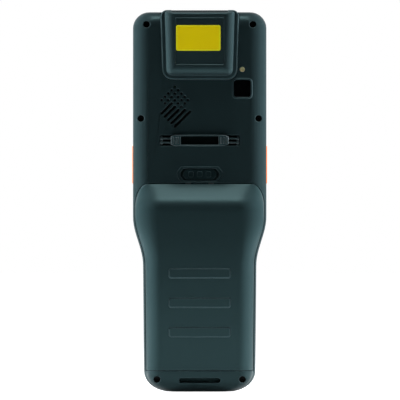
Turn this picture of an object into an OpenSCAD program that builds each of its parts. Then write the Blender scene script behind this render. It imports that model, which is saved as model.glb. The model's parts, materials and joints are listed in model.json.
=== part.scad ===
// Portable barcode data terminal with a tilting battery cover.
// The terminal stands upright on its bottom end: +Z runs from the bottom end to the scan end, the back
// faces -Y and the keypad side faces +Y. The origin is under the middle of the terminal, on the floor.

/* [Body] */
// Length from the foot to the scan end of the body
body_len = 199; // [190:1:210]
// Length of the head, from the battery cover's upper edge to the scan end
head_len = 90.1; // [88:0.1:92]
// Width of the upper body
body_w = 70; // [68:0.5:76]
// Width of the grip at its lower end
grip_w_low = 58.2; // [57:0.2:60]
// Width of the grip where it starts to flare
grip_w_high = 59.4; // [58.6:0.2:61]
// Length over which the grip flares out to the head
flare_len = 26; // [24:1:28]
// Distance from the end of the flare to the cover's upper edge
flare_drop = 16.9; // [16:0.1:18]
// Front face, measured forward from the origin
front_y = 14.5; // [14:0.1:15.5]
// Parting plane between front and rear housing
parting_y = 5; // [4.6:0.1:5.2]
// Flat back of the upper body, behind the origin
back_y = 5.5; // [5.5:0.1:6.5]
// Wall thickness of the housings
wall = 2; // [1.8:0.1:2.2]
// Corner radius of the outline at the scan end
corner_r = 8.5; // [7.5:0.5:9]
// Width of the rounding along the back's long edges
back_round_w = 9.5; // [8:0.5:10]
// Depth of the rounding along the back's edges
back_round_d = 8; // [7:0.25:8]
// Rounding along the front's edges
front_round = 3.5; // [2.5:0.25:4]
// Half width of the flat foot
foot_half = 15.5; // [14:0.5:17]
// Height over which the bottom end rounds into the foot
foot_rise = 10.5; // [9:0.5:11]

/* [Grip and battery cover] */
// Lower edge of the battery cover
cover_z_low = 11; // [11:0.25:12]
// Band of the housing that shows outside the cover
cover_band = 1.2; // [1:0.1:1.4]
// Depth of the grip's back at the lower edge of the cover
grip_y_low = 9.5; // [9:0.25:10]
// Depth of the grip's back at its thickest
grip_y_high = 15.5; // [15:0.25:16]
// Distance from the grip's thickest point to the cover's upper edge
crest_drop = 13.9; // [12:0.1:15]
// Corner radius of the cover's upper edge
cover_corner_r = 12; // [10:0.5:13]
// Half width of the flat panel down the middle of the grip
grip_flat = 20; // [18:0.5:21]
// Wall thickness of the cover
cover_wall = 1.8; // [1.6:0.1:2]
// Gap around the cover
cover_gap = 0.3; // [0.25:0.05:0.35]
// Gap above the cover's upper edge
cover_top_gap = 0.45; // [0.4:0.05:0.5]
// Number of raised grip bars
bar_count = 3; // [1:1:3]
// Length of a grip bar
bar_w = 32.4; // [26:0.2:34]
// Height of a grip bar
bar_h = 5.2; // [4:0.1:6]
// Middle of the lowest grip bar
bar_z = 31.3; // [28:0.1:34]
// Distance from bar to bar
bar_pitch = 15.4; // [12:0.1:16]
// How far a grip bar stands proud
bar_rise = 0.5; // [0.3:0.1:0.7]

/* [Battery] */
// Width of the battery pack
battery_w = 36; // [30:1:38]
// Room between the battery pack and the inside of the cover
battery_room = 0.78; // [0.6:0.02:1.2]
// Distance from the cover's lower edge to the battery pack
battery_low_gap = 17; // [17:0.5:20]
// Distance from the battery pack to the cover's upper edge
battery_top_gap = 14.9; // [14.9:0.1:20]
// Play around the battery pack
battery_play = 0.3; // [0.2:0.05:0.4]

/* [Scanner hood] */
// Half width of the hood at the scan end
hood_half_top = 20.6; // [20:0.1:21]
// Half width of the hood at its lower end
hood_half_low = 19.7; // [19.2:0.1:19.9]
// Length of the hood
hood_len = 36.5; // [35.8:0.1:36.8]
// How far the hood's ledge stands above the back
hood_ledge = 1.2; // [0.8:0.1:1.4]
// How far the hood's plateau stands above the back
hood_rise = 5.5; // [5:0.1:6]
// How far the hood stands past the end of the body
hood_over = 1; // [0.6:0.1:1.4]
// Width of the label recess
recess_w = 25.4; // [22:0.2:26]
// Distance from the hood's lower end to the label recess
recess_low_gap = 7.9; // [7.6:0.1:8.6]
// Distance from the label recess to the hood's upper end
recess_top_gap = 4.1; // [3.6:0.1:5]
// Width of the label plate
label_w = 23.3; // [20:0.1:24]
// Height of the label plate
label_h = 13.4; // [10:0.1:16]

/* [Keypad] */
// Distance from the keypad bezel to the grip's side
bezel_side = 3.3; // [3:0.1:4]
// Lower edge of the keypad bezel
bezel_z_low = 13; // [12.5:0.5:14]
// Distance from the outer keys of a row to the bezel's side
key_side = 1.6; // [1.5:0.1:2.5]
// Web of the bezel between two keys of a row
key_web = 2; // [1.6:0.1:2.6]
// Height of a grid key
key_h = 7.6; // [6:0.1:8]
// Web of the bezel between two rows
row_web = 3; // [2:0.1:3.2]
// Distance from the lowest row to the bezel's lower edge
row_low_gap = 3.7; // [3:0.1:4.5]
// Travel of a key
key_travel = 0.6; // [0.4:0.05:0.6]
// Gap around a key
key_gap = 0.2; // [0.15:0.05:0.25]
// How far a key stands above the bezel
key_rise = 1; // [0.6:0.1:1.2]
// Distance from the ring of arrow keys to the bezel's side
ring_side = 11.5; // [11:0.1:12.5]
// Width of the ring of arrow keys
ring_band = 6.4; // [5.8:0.1:7]
// Distance from the top row to the ring of arrow keys
ring_low_gap = 9.6; // [9:0.1:11]
// Distance from the ring of arrow keys to the bezel's upper edge
ring_high_gap = 6.7; // [6:0.1:8]
// Width of a corner key
corner_w = 9; // [8:0.1:9.4]
// Height of a corner key
corner_h = 7; // [6:0.1:7.4]
// Width of a side scan key, across the parting plane
side_key_w = 3.8; // [3.4:0.1:3.8]
// Length of a side scan key
side_key_len = 20; // [16:0.5:24]
// How far a side scan key stands out
side_key_rise = 0.4; // [0.3:0.05:0.5]

/* [Display] */
// Distance from the touch glass to the body's side
glass_side = 5.5; // [5:0.1:7]
// Distance from the keypad bezel to the touch glass
glass_low_gap = 5; // [4:0.5:8]
// Distance from the touch glass to the scan end
glass_top_gap = 9; // [8.8:0.1:12]
// Distance from the lit picture to the side of the glass
screen_side = 5; // [3:0.5:7]
// What the glass is longer than the lit picture
screen_ends = 18.7; // [16:0.1:24]

/* [Fittings] */
// Distance from the top screws to the body's side
top_screw_side = 7.2; // [7:0.1:7.4]
// Distance from the top screws to the scan end
top_screw_drop = 6.5; // [6.3:0.1:7]
// Distance from the waist screws to the body's side
mid_screw_side = 4.2; // [4.2:0.1:5]
// Distance from the waist screws to the scan end
mid_screw_drop = 55.8; // [54:0.2:57]
// Distance from the bottom screws to the grip's side
low_screw_side = 6.75; // [6.6:0.05:7.5]
// Height of the bottom screws
low_screw_z = 6.5; // [6.2:0.1:6.8]
// Diameter of a screw well
well_d = 3.6; // [3.4:0.1:3.8]
// Distance from the middle of the grille to the scan end
grille_drop = 49.6; // [48.6:0.2:50.4]
// Distance between grille holes
grille_pitch = 2.45; // [2.2:0.05:2.5]
// Diameter of a grille hole
grille_d = 1.35; // [1.1:0.05:1.4]
// Width of the strap slot in the bottom end
slot_w = 21.5; // [18:0.5:23]
// Height of the strap slot
slot_h = 2.5; // [2:0.1:2.8]
// Distance from the strap eye to the scan end
eye_drop = 67.35; // [66.5:0.05:68]
// Half width of the strap eye's loop
eye_half = 15; // [13:0.5:16]
// Side of the camera window
camera_w = 8.7; // [8:0.1:9]
// Distance from the camera to the scan end
camera_drop = 40.1; // [39:0.1:41.5]
// Distance from the camera to the flash lens
flash_rise = 10; // [8.5:0.5:12]
// Diameter of the flash lens
flash_d = 2.6; // [2:0.1:3]
// Distance from the side scan keys to the scan end
side_key_drop = 80; // [76:0.5:82]
// Distance from the earpiece to the scan end
receiver_drop = 5.6; // [5.4:0.1:6]
// Distance from the cover's upper edge to the latch knob
knob_rise = 5.05; // [5:0.05:5.6]
// Width of the latch knob
knob_w = 17.2; // [15:0.2:18]
// Travel of the latch knob to each side
latch_travel = 1.5; // [1.2:0.1:1.5]

/* [Hidden] */
$fn = 48;
eps = 0.01;
fit = 0.1;          // clearance between fixed pieces that fit in each other
slide_gap = 0.15;   // clearance around pieces that slide
arc_steps = 9;      // steps in the rounding of a section

GRID = [
    ["key_point", "key_0", "key_fn", "key_enter"],
    ["key_7", "key_8", "key_9", "key_shift"],
    ["key_4", "key_5", "key_6", "key_tab"],
    ["key_1", "key_2", "key_3", "key_delete"]
];
ARROWS = [["key_left", 0], ["key_up", 90], ["key_right", 180], ["key_down", 270]];
CORNERS = [["home_key", -1, -1], ["power_key", 1, -1], ["left_soft_key", -1, 1], ["right_soft_key", 1, 1]];

// ---------- Levels worked out from the sizes above ----------
body_half_w = body_w / 2;
cover_z_high = body_len - head_len;          // upper edge of the battery cover
flare_z_high = cover_z_high - flare_drop;    // the body has its full width from here up
flare_z_low = flare_z_high - flare_len;      // the grip starts to flare here
grip_top_z = cover_z_high - crest_drop;      // the grip is thickest here
hood_z_top = body_len + hood_over;
hood_z_low = hood_z_top - hood_len;
deck_y = 1;                                  // floor under the cover's rim
slab_y = parting_y - 0.3;                    // front side of the rear housing's floor in the grip
rim_y = deck_y - 0.6;                        // lower edge of the cover's wall
cover_z = cover_z_low + 0.25;                // lower face of the cover
pivot_z = cover_z_low + 0.1;                 // line that the cover tilts about
inner_back_y = -back_y + wall;               // inside of the upper back
cavity_z_low = cover_z_high + 2.3;           // inside of the upper housing starts above the bulkhead
inner_front_y = front_y - wall - 1.3;        // inside of the front wall
glass_y = front_y - 1.8;                     // back of the touch glass
bezel_y = front_y - 2.4;                     // back of the keypad bezel
flange_y = bezel_y - fit;                    // front of a key's flange
flange_t = 0.8;
mat_y = flange_y - flange_t - key_travel - 0.4;
board_y = parting_y + 0.5;
board_t = 1;
reveal = 0.3;
hood_y = -back_y - hood_rise;                // plateau of the scanner hood
ledge_y = -back_y - hood_ledge;              // ledge around the plateau
hood_front_y = parting_y - 2;                // how far the hood reaches into the body

// ---------- Outline and depth as functions of the height ----------
function blend(t) = (1 - cos(180 * min(max(t, 0), 1))) / 2;
function quarter(u, r) = u >= r ? 1 : u <= 0 ? 0 : sqrt(1 - pow(1 - u / r, 2));
function mix(a, b, t) = a + (b - a) * t;
// From 0 at t = 0 to 1 at t = 1: rounded over the first part, straight from there on
slope_round = 0.5;
function slope(t) =
    (t <= 0 ? 0 : t < slope_round ? t * t / slope_round : 2 * t - slope_round) / (2 - slope_round);
cover_shoulder = 6.8;                        // how far the cover's upper corners come in
grip_round_d = 9.5;                          // depth of the rounding along the grip's sides

// Half width of the body at height z
function body_half(z) =
    mix(grip_w_low, grip_w_high, min(z / flare_z_low, 1)) / 2
    + (body_w - grip_w_high) / 2 * blend((z - flare_z_low) / (flare_z_high - flare_z_low))
    - corner_r * (1 - quarter(body_len - z, corner_r))
    - (grip_w_low / 2 - foot_half) * (1 - quarter(z, foot_rise));

// Depth of the body's back at height z, without the grip
function back_at(z) =
    back_y - back_round_d * (1 - quarter(body_len - z, back_round_d + 0.5))
    - 3 * (1 - quarter(z, foot_rise));

// Depth of the front at height z
function front_at(z) =
    front_y - 4 * (1 - quarter(body_len - z, 4)) - 3 * (1 - quarter(z, 6));

// Half width of the grip's back at height z
function grip_half(z) =
    body_half(z) - cover_band
    - cover_shoulder * (1 - quarter(cover_z_high - z, cover_corner_r));

// Depth of the grip's back at height z
function grip_at(z) =
    mix(grip_y_low, grip_y_high, sin(90 * min(max((z - cover_z_low) / (grip_top_z - cover_z_low), 0), 1)))
    - (grip_y_high - back_y + 0.2) * slope((z - grip_top_z) / (cover_z_high + 0.2 - grip_top_z))
    - 6 * (1 - quarter(z, foot_rise));

// Depth of the body's back beside the edge of the cover at height z
function edge_at(z) =
    back_at(z) - back_round_d * (1 - quarter(body_half(z) - grip_half(z), back_round_w));

// ---------- Sections, counter-clockwise seen from above ----------
function rear_section(half, y0, depth, rx, ry, steps) = concat(
    [for (i = [0:steps]) let (a = 90 * i / steps) [-half + rx - rx * cos(a), -depth + ry - ry * sin(a)]],
    [for (i = [0:steps]) let (a = 90 * i / steps) [half - rx + rx * sin(a), -depth + ry - ry * cos(a)]],
    [[half, y0], [-half, y0]]
);
function front_section(half, y0, depth, r, steps) = concat(
    [[-half, y0], [half, y0]],
    [for (i = [0:steps]) let (a = 90 * i / steps) [half - r + r * cos(a), depth - r + r * sin(a)]],
    [for (i = [0:steps]) let (a = 90 + 90 * i / steps) [-half + r + r * cos(a), depth - r + r * sin(a)]]
);

// A closed body through a list of [height, section]
module loft(rings) {
    k = len(rings[0][1]);
    n = len(rings);
    points = [for (ring = rings) for (p = ring[1]) [p[0], p[1], ring[0]]];
    faces = concat(
        [[for (i = [0:k - 1]) i]],
        [for (r = [0:n - 2]) for (i = [0:k - 1]) [r * k + i, (r + 1) * k + i, (r + 1) * k + (i + 1) % k]],
        [for (r = [0:n - 2]) for (i = [0:k - 1]) [r * k + i, (r + 1) * k + (i + 1) % k, r * k + (i + 1) % k]],
        [[for (i = [k - 1:-1:0]) (n - 1) * k + i]]
    );
    polyhedron(points, faces, convexity = 8);
}

// Heights of the rings: close together where the outline turns
function end_rings(r, step) = [for (a = [0:step:90]) r * (1 - cos(a))];
function spaced(low, high, count) = [for (i = [0:count]) mix(low, high, i / count)];
top_r = back_round_d + 0.5;
body_top_rings = [for (a = [90:-10:0]) body_len - top_r * (1 - cos(a))];
body_heights = concat(end_rings(foot_rise, 10), spaced(flare_z_low, flare_z_high, 12), body_top_rings);
cavity_heights = concat([cavity_z_low], [for (a = [90:-15:15]) body_len - wall - top_r * (1 - cos(a))]);

// The rear half of the body, inset for its inside
module rear_shape(heights, inset, steps) {
    loft([for (z = heights)
        let (zz = z + (z > body_len / 2 ? inset : 0))
        let (depth = back_at(zz) - inset)
        let (ry = min(back_round_d - inset, depth + parting_y - 0.8))
        [z, rear_section(body_half(zz) - inset, parting_y + (inset > 0 ? 1 : 0), depth,
                         (back_round_w - inset) * ry / (back_round_d - inset), ry, steps)]]);
}

// The front half of the body
module front_shape(heights, steps) {
    loft([for (z = heights)
        [z, front_section(body_half(z), parting_y + reveal, front_at(z), front_round, steps)]]);
}

// The bulging back of the grip, level with the housing along its edge
module grip_shape(heights, inset_side, inset_back, y0, steps) {
    loft([for (z = heights)
        let (half = grip_half(z) - inset_side)
        let (depth = grip_at(z) - inset_back)
        let (flat = min(grip_flat, half * 0.72))
        let (ry = max(min(grip_round_d - inset_back, depth - edge_at(z) + inset_side), 0.4))
        [z, rear_section(half, y0, depth, half - flat, ry, steps)]]);
}

// Outline of the body seen from the back, and of the battery cover
outline_heights = concat(end_rings(foot_rise, 10), spaced(flare_z_low, flare_z_high, 12),
                         [for (a = [90:-10:0]) body_len - corner_r * (1 - cos(a))]);
function both_sides(heights, halves) = concat(
    [for (i = [0:len(heights) - 1]) [halves[i], heights[i]]],
    [for (i = [len(heights) - 1:-1:0]) [-halves[i], heights[i]]]
);
module body_outline() {
    polygon(both_sides(outline_heights, [for (z = outline_heights) body_half(z)]));
}
cover_heights = concat([cover_z], spaced(flare_z_low, flare_z_high, 12),
                       [for (a = [90:-10:0]) cover_z_high - cover_corner_r * (1 - cos(a))]);
module cover_outline() {
    polygon(both_sides(cover_heights, [for (z = cover_heights) grip_half(z)]));
}

// Extrudes a drawing in X and Z from y_low to y_high
module deep(y_low, y_high) {
    translate([0, y_high, 0]) rotate([90, 0, 0]) linear_extrude(y_high - y_low) children();
}
module block(low, high) {
    translate(low) cube(high - low);
}
module rounded(w, h, r) {
    square([w - 2 * r, h], center = true);
    square([w, h - 2 * r], center = true);
    for (sx = [-1, 1], sz = [-1, 1]) translate([sx * (w / 2 - r), sz * (h / 2 - r)]) circle(r);
}
module pill(w, h) {
    square([w - h, h], center = true);
    for (sx = [-1, 1]) translate([sx * (w - h) / 2, 0]) circle(h / 2);
}
module rod(y_low, y_high, r) {
    translate([0, y_high, 0]) rotate([90, 0, 0]) cylinder(r = r, h = y_high - y_low);
}

// Screw places as [x, z]
SCREWS = [for (s = [[body_half_w - top_screw_side, body_len - top_screw_drop],
                    [body_half_w - mid_screw_side, body_len - mid_screw_drop],
                    [grip_w_low / 2 - low_screw_side, low_screw_z]], side = [-1, 1]) [side * s[0], s[1]]];
screw_seat_y = 1;
screw_r = 0.95;
head_r = well_d / 2 - 0.2;
head_t = 1.6;

// ---------- Housings ----------
bezel_w = grip_w_low - 2 * bezel_side;
key_w = (bezel_w - 2 * key_side - 3 * key_web) / 4;
key_pitch_x = key_w + key_web;
key_pitch_z = key_h + row_web;
key_row_z = bezel_z_low + row_low_gap + key_h / 2;
ring_r = bezel_w / 2 - ring_side;
scan_key_r = ring_r - ring_band;
ring_z = key_row_z + 3 * key_pitch_z + key_h / 2 + ring_low_gap + ring_r;
bezel_z_high = ring_z + ring_r + ring_high_gap;
bezel_mid_z = (bezel_z_low + bezel_z_high) / 2;
bezel_h = bezel_z_high - bezel_z_low;
bezel_r = 6;
bezel_lip = 1;
glass_w = body_w - 2 * glass_side;
glass_z_low = bezel_z_high + glass_low_gap;
glass_z_high = body_len - glass_top_gap;
glass_mid_z = (glass_z_low + glass_z_high) / 2;
glass_h = glass_z_high - glass_z_low;
glass_r = 3;
glass_lip = 1.8;
glass_end_lip = 2.5;
screen_w = glass_w - 2 * screen_side;
screen_h = glass_h - screen_ends;
slot_z = 6.05;
dock_y = parting_y + 3.2;
dock_w = 8.8;
dock_h = 3.1;
dock_z_low = 0.8;
dock_len = 7.8;
receiver_z = body_len - receiver_drop;
receiver_w = 14;
light_x = 16;
light_r = 0.9;
front_foot = 6;
front_end = 8;
side_key_z = body_len - side_key_drop;
side_key_y = (parting_y + inner_front_y) / 2;
side_flange = 0.9;
boss_r = 2.7;

module seal_ring(grow) {
    difference() {
        offset(delta = -0.7 + grow) body_outline();
        offset(delta = -1.4 - grow) body_outline();
    }
}

module side_key_window(side, grow) {
    translate([side * body_half_w, side_key_y, side_key_z]) rotate([0, 90, 0]) translate([0, 0, -4])
        linear_extrude(8)
            rotate(90) rounded(side_key_w + 2 * grow, side_key_len + 2 * grow, 1.5 + grow);
}

module front_housing() {
    color([0.13, 0.19, 0.2])
    difference() {
        union() {
            difference() {
                union() {
                    front_shape(body_heights, 6);
                    deep(parting_y, parting_y + reveal + 0.1) offset(delta = -reveal) body_outline();
                }
                deep(parting_y - 1, inner_front_y) difference() {
                    offset(delta = -wall) body_outline();
                    translate([-body_w, -1]) square([2 * body_w, front_foot + 1]);
                    translate([-body_w, body_len - front_end]) square([2 * body_w, front_end + 2]);
                }
            }
            for (s = SCREWS) translate([s[0], 0, s[1]]) rod(parting_y, inner_front_y + 0.5, boss_r);
        }
        deep(glass_y - 0.05, front_y + 1) translate([0, glass_mid_z])
            rounded(glass_w + 2 * fit, glass_h + 2 * fit, glass_r + fit);
        deep(inner_front_y - 1, glass_y) translate([0, glass_mid_z])
            rounded(glass_w - 2 * glass_lip, glass_h - 2 * glass_end_lip, glass_r - 1);
        deep(bezel_y - 0.05, front_y + 1) translate([0, bezel_mid_z])
            rounded(bezel_w + 2 * fit, bezel_h + 2 * fit, bezel_r);
        deep(inner_front_y - 1, bezel_y) translate([0, bezel_mid_z])
            rounded(bezel_w - 2 * bezel_lip, bezel_h - 2 * bezel_lip, 3.5);
        deep(parting_y - 1, parting_y + 0.9) seal_ring(0.05);
        for (s = SCREWS) translate([s[0], 0, s[1]]) rod(parting_y - 1, parting_y + 5.6, screw_r + 0.05);
        for (side = [-1, 1]) side_key_window(side, key_gap);
        translate([0, 0, receiver_z]) deep(inner_front_y - 1, front_y + 1) pill(10, 1.3);
        translate([light_x, 0, receiver_z]) rod(inner_front_y - 1, front_y + 1, light_r + 0.05);
        block([-dock_w / 2 - 0.2, dock_y - dock_h / 2 - 0.15, -1],
              [dock_w / 2 + 0.2, dock_y + dock_h / 2 + 0.15, dock_z_low + dock_len - 0.6]);
        translate([0, 0, receiver_z - 2.4]) deep(parting_y - 1, inner_front_y) rounded(26, 12, 1);
    }
}

// Outline of the hood seen from the back, as points: inset all round, and cut at z_top
hood_corner_top = 3.4;
hood_corner_low = 5.5;
hood_steps = 6;
function corner_points(x, z, r, a0, steps) =
    [for (i = [0:steps]) let (a = a0 + 90 * i / steps) [x + r * cos(a), z + r * sin(a)]];
function hood_half(z) = mix(hood_half_low, hood_half_top, (z - hood_z_low) / (hood_z_top - hood_z_low));
function hood_points(inset, z_top) =
    let (r_top = max(hood_corner_top - inset, 0.8))
    let (r_low = max(hood_corner_low - inset, 0.8))
    let (low = hood_z_low + inset)
    let (half_low = hood_half(low) - inset)
    let (half_top = hood_half(z_top) - inset)
    concat(
        corner_points(half_top - r_top, z_top - r_top, r_top, 0, hood_steps),
        corner_points(-half_top + r_top, z_top - r_top, r_top, 90, hood_steps),
        corner_points(-half_low + r_low, low + r_low, r_low, 180, hood_steps),
        corner_points(half_low - r_low, low + r_low, r_low, 270, hood_steps)
    );

// Places of the grille's holes: rows run down to the right, columns down to the left
grille_x = -13;
grille_z = body_len - grille_drop;
function grille_at(i, j) = [
    grille_x + (i - j) * grille_pitch / sqrt(2),
    grille_z + (6 - i - j) * grille_pitch / sqrt(2)
];
GRILLE_DOTS = [for (i = [0:4]) for (j = [0:(i < 2 ? 4 : 2)]) [i, j]];
GRILLE_SLOTS = [for (i = [2:6]) [i, i < 5 ? 3 : i == 5 ? 2 : 1.5]];
module grille() {
    for (d = GRILLE_DOTS) translate(grille_at(d[0], d[1])) circle(d = grille_d);
    for (s = GRILLE_SLOTS)
        translate((grille_at(s[0], s[1]) + grille_at(s[0], 6)) / 2)
            rotate(45) pill((6 - s[1]) * grille_pitch + grille_d, grille_d);
}

eye_z = body_len - eye_drop;
eye_h = 5.7;
well_w = 2 * eye_half + 12;
well_y = inner_back_y + 2;
camera_x = (hood_half_low + body_half_w) / 2 - 5.05;
camera_z = body_len - camera_drop;
flash_z = camera_z + flash_rise;

knob_z = cover_z_high + knob_rise;
knob_h = 5.2;
knob_recess_w = knob_w + 2 * latch_travel + 0.3;
hook_x = 6;
hook_w = 3;
hook_y_low = inner_back_y + 0.3;
hook_y_high = hook_y_low + 1.2;
stem_w = 5.6;
stem_h = 2.6;

module eight_sided(w, h, cut) {
    x = w / 2;
    z = h / 2;
    x_in = x - cut * 0.8;
    z_in = z - cut;
    polygon([[-x, -z_in], [-x_in, -z], [x_in, -z], [x, -z_in], [x, z_in], [x_in, z], [-x_in, z], [-x, z_in]]);
}

// Hooks that hold the cover's lower edge, swept about the pivot line
hinge_x = 15.2;
hinge_w = 7.6;
hinge_r_low = 3;
hinge_r_high = 4.4;
module hinge_arc(r_low, r_high, a_low, a_high, w) {
    translate([0, -grip_y_low, pivot_z]) rotate([90, 0, 90])
        translate([0, 0, -w / 2]) rotate([0, 0, a_low])
            rotate_extrude(angle = a_high - a_low) translate([r_low, 0]) square([r_high - r_low, w]);
}

floor_half = grip_w_low / 2 - 2.1;

module rear_housing() {
    grip_deck = deck_y;
    color([0.13, 0.19, 0.2])
    difference() {
        union() {
            difference() {
                rear_shape(body_heights, 0, arc_steps);
                rear_shape(cavity_heights, wall, 5);
                deep(-20, grip_deck) offset(delta = cover_gap) cover_outline();
                deep(-20, grip_deck) translate([0, cover_z_high + cover_top_gap - cover_corner_r / 2])
                    square([2 * grip_half(cover_z_high), cover_corner_r], center = true);
            }
            // end cap below the cover
            cap_heights = [for (z = end_rings(foot_rise, 10)) if (z < cover_z_low - 0.2) z];
            grip_shape(concat(cap_heights, [cover_z_low]), 0, 0, parting_y - 0.5, 12);
            // posts around the screws
            intersection() {
                union() {
                    for (s = [SCREWS[0], SCREWS[1], SCREWS[2], SCREWS[3]])
                        translate([s[0], 0, s[1]]) rod(-back_y, parting_y, 3.1);
                }
                rear_shape(cavity_heights, 0.3, 5);
            }
            // walls of the well under the strap eye
            translate([0, 0, eye_z]) deep(inner_back_y - 0.5, well_y + 1.2)
                square([well_w + 3, eye_h + 3], center = true);
            // ribs that keep the battery in place
            for (side = [-1, 1]) for (z = [battery_z + 6, battery_z + battery_len - 12])
                translate([side * (battery_w / 2 + battery_play + 0.7), 0, z + 4])
                    deep(-3.6, grip_deck + 0.5) square([1.4, 8], center = true);
            // rim around the camera window
            translate([camera_x, 0, camera_z]) deep(-back_y - 0.35, -back_y + 0.5)
                rounded(camera_w + 1.8, camera_w + 2, 2.2);
        }
        // recess for the battery in the floor
        translate([0, 0, battery_z + battery_len / 2]) deep(-20, deck_y + 2.3)
            rounded(battery_w + 2 * battery_play, battery_len + 2 * battery_play, 1.5);
        // floor of the grip stays clear of the boards in the front
        block([-floor_half, slab_y, cover_z_low + 3], [floor_half, parting_y + 1, cavity_z_low]);
        // groove for the cover's gasket
        deep(grip_deck - 1, grip_deck + 0.8) gasket_ring(0.05);
        // opening for the scanner hood
        deep(-20, hood_front_y + slide_gap) polygon(hood_points(-slide_gap, hood_z_top + 3));
        // grille
        deep(-20, inner_back_y + 1) grille();
        // camera window and flash
        translate([camera_x, 0, camera_z]) {
            deep(-back_y - 1, -back_y + 1 + fit / 2)
                rounded(camera_w + 2 * fit, camera_w + 0.2 + 2 * fit, 1.5);
            deep(-back_y - 1, parting_y) rounded(camera_w - 2.1, camera_w - 2.1, 1);
        }
        translate([camera_x, 0, flash_z]) rod(-back_y - 1, parting_y - 1, flash_d / 2 + 0.05);
        // strap eye well
        translate([0, 0, eye_z]) deep(-20, well_y) rounded(well_w, eye_h, 0.8);
        // latch recess, knob slot and the hooks' way through the bulkhead
        translate([0, 0, knob_z]) {
            deep(-20, -back_y + 0.6) eight_sided(knob_recess_w + 3.1, knob_h + 2.7, 2.6);
            deep(-20, -back_y + 1.2) eight_sided(knob_recess_w, knob_h + 0.8, 2.1);
            deep(-20, parting_y - 1)
                square([stem_w + 2 * latch_travel + 0.4, stem_h + 2 * slide_gap], center = true);
        }
        for (side = [-1, 1])
            block([side * hook_x - hook_w / 2 - latch_travel - 0.3, hook_y_low - slide_gap, cover_z_high - 1],
                  [side * hook_x + hook_w / 2 + latch_travel + 0.3,
                   hook_y_high + slide_gap, cavity_z_low + 1]);
        // screw wells and clearance holes
        for (s = SCREWS) translate([s[0], 0, s[1]]) {
            rod(-20, screw_seat_y, well_d / 2);
            rod(screw_seat_y - 1, parting_y + 1, screw_r + 0.15);
        }
        // pockets for the cover's hooks
        for (side = [-1, 1]) translate([side * hinge_x, 0, 0])
            hinge_arc(hinge_r_low - 0.25, hinge_r_high + 0.25, -70, 25, hinge_w + 0.6);
        // strap slot: in from the back and out through the foot
        translate([0, 0, slot_z]) deep(-20, 1.2) pill(slot_w, slot_h);
        block([-slot_w / 2 + 1, -1.4, -1], [slot_w / 2 - 1, 1.2, slot_z]);
        // side keys cross the parting plane
        for (side = [-1, 1]) side_key_window(side, key_gap);
    }
}

module gasket_ring(grow) {
    difference() {
        offset(delta = -0.4 + grow) cover_outline();
        offset(delta = -1.4 - grow) cover_outline();
    }
}

module cover_gasket() {
    color([0.06, 0.06, 0.06])
    deep(rim_y + 0.3, deck_y + 0.8) gasket_ring(0);
}

module housing_seal() {
    color([0.08, 0.08, 0.08])
    deep(parting_y, parting_y + 0.9) seal_ring(0);
}

// ---------- Battery cover ----------
skin_heights = concat(spaced(cover_z, flare_z_low, 7),
                      [for (i = [1:12]) mix(flare_z_low, flare_z_high, i / 12)],
                      [for (i = [1:9]) mix(flare_z_high, cover_z_high - 2, i / 9)],
                      [cover_z_high - 1, cover_z_high - 0.35, cover_z_high]);
inner_heights = concat(spaced(cover_z + cover_wall, flare_z_low, 4), spaced(flare_z_low + 5, flare_z_high, 4),
                       spaced(grip_top_z, cover_z_high - cover_wall, 5));

module grip_bar(z) {
    slope = (grip_at(z + 3) - grip_at(z - 3)) / 6;
    translate([0, -grip_at(z), z]) rotate([atan(slope), 0, 0]) hull() {
        deep(-0.2, 0.4) rounded(bar_w, bar_h, 1.3, $fn = 24);
        deep(-bar_rise, 0.4) rounded(bar_w - 0.8, bar_h - 0.8, 1, $fn = 24);
    }
}

module battery_cover() {
    color([0.15, 0.22, 0.24])
    difference() {
        union() {
            difference() {
                grip_shape(skin_heights, 0, 0, rim_y, 12);
                grip_shape(inner_heights, cover_wall, cover_wall + 0.3, rim_y + 1, 6);
            }
            for (i = [0:bar_count - 1]) grip_bar(bar_z + i * bar_pitch);
            for (side = [-1, 1]) translate([side * hinge_x, 0, 0])
                hinge_arc(hinge_r_low, hinge_r_high, -62, 22, hinge_w);
        }
        // entries and lock pockets for the latch hooks
        for (side = [-1, 1]) {
            entry_low = cover_z_high - cover_wall - 1;
            block([side * hook_x - hook_w / 2 - 0.3, hook_y_low - 0.3, entry_low],
                  [side * hook_x + hook_w / 2 + latch_travel + 0.3, rim_y + 1, cover_z_high + 1]);
            block([side * hook_x - hook_w / 2 - latch_travel - 0.3, hook_y_low - 0.3, entry_low],
                  [side * hook_x, hook_y_high + 0.3, cover_z_high + 1]);
        }
    }
}

// ---------- Battery and contacts ----------
battery_z = cover_z_low + battery_low_gap;
battery_z_high = cover_z_high - battery_top_gap;
battery_len = battery_z_high - battery_z;
battery_y_high = deck_y + 2;
battery_y_low = -grip_at(battery_z) + cover_wall + 0.3 + battery_room;
contact_pitch = 4;

module battery_pack() {
    color([0.1, 0.1, 0.11])
    difference() {
        translate([0, 0, battery_z + battery_len / 2])
            deep(battery_y_low, battery_y_high) rounded(battery_w, battery_len, 1.2);
        // finger notch at the lower end
        translate([0, battery_y_low - 1, battery_z - 3]) rotate([-90, 0, 0]) cylinder(r = 7, h = 3);
        // terminals at the upper end
        for (i = [-1:1])
            block([i * contact_pitch - 1.2, -5, battery_z_high - 0.4],
                  [i * contact_pitch + 1.2, -1, battery_z_high + 1]);
    }
}

module battery_contacts() {
    contact_w = 4 * contact_pitch;
    color([0.75, 0.6, 0.3])
    difference() {
        union() {
            block([-contact_w / 2, -6, battery_z_high + 1.6], [contact_w / 2, deck_y, battery_z_high + 5]);
            for (i = [-1:1])
                translate([i * contact_pitch, -3, battery_z_high + 0.2]) cylinder(r = 0.7, h = 1.6);
        }
        for (i = [-1:1])
            block([i * contact_pitch - 0.4, -6.5, battery_z_high + 2.4],
                  [i * contact_pitch + 0.4, -4.8, battery_z_high + 6]);
    }
}

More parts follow.
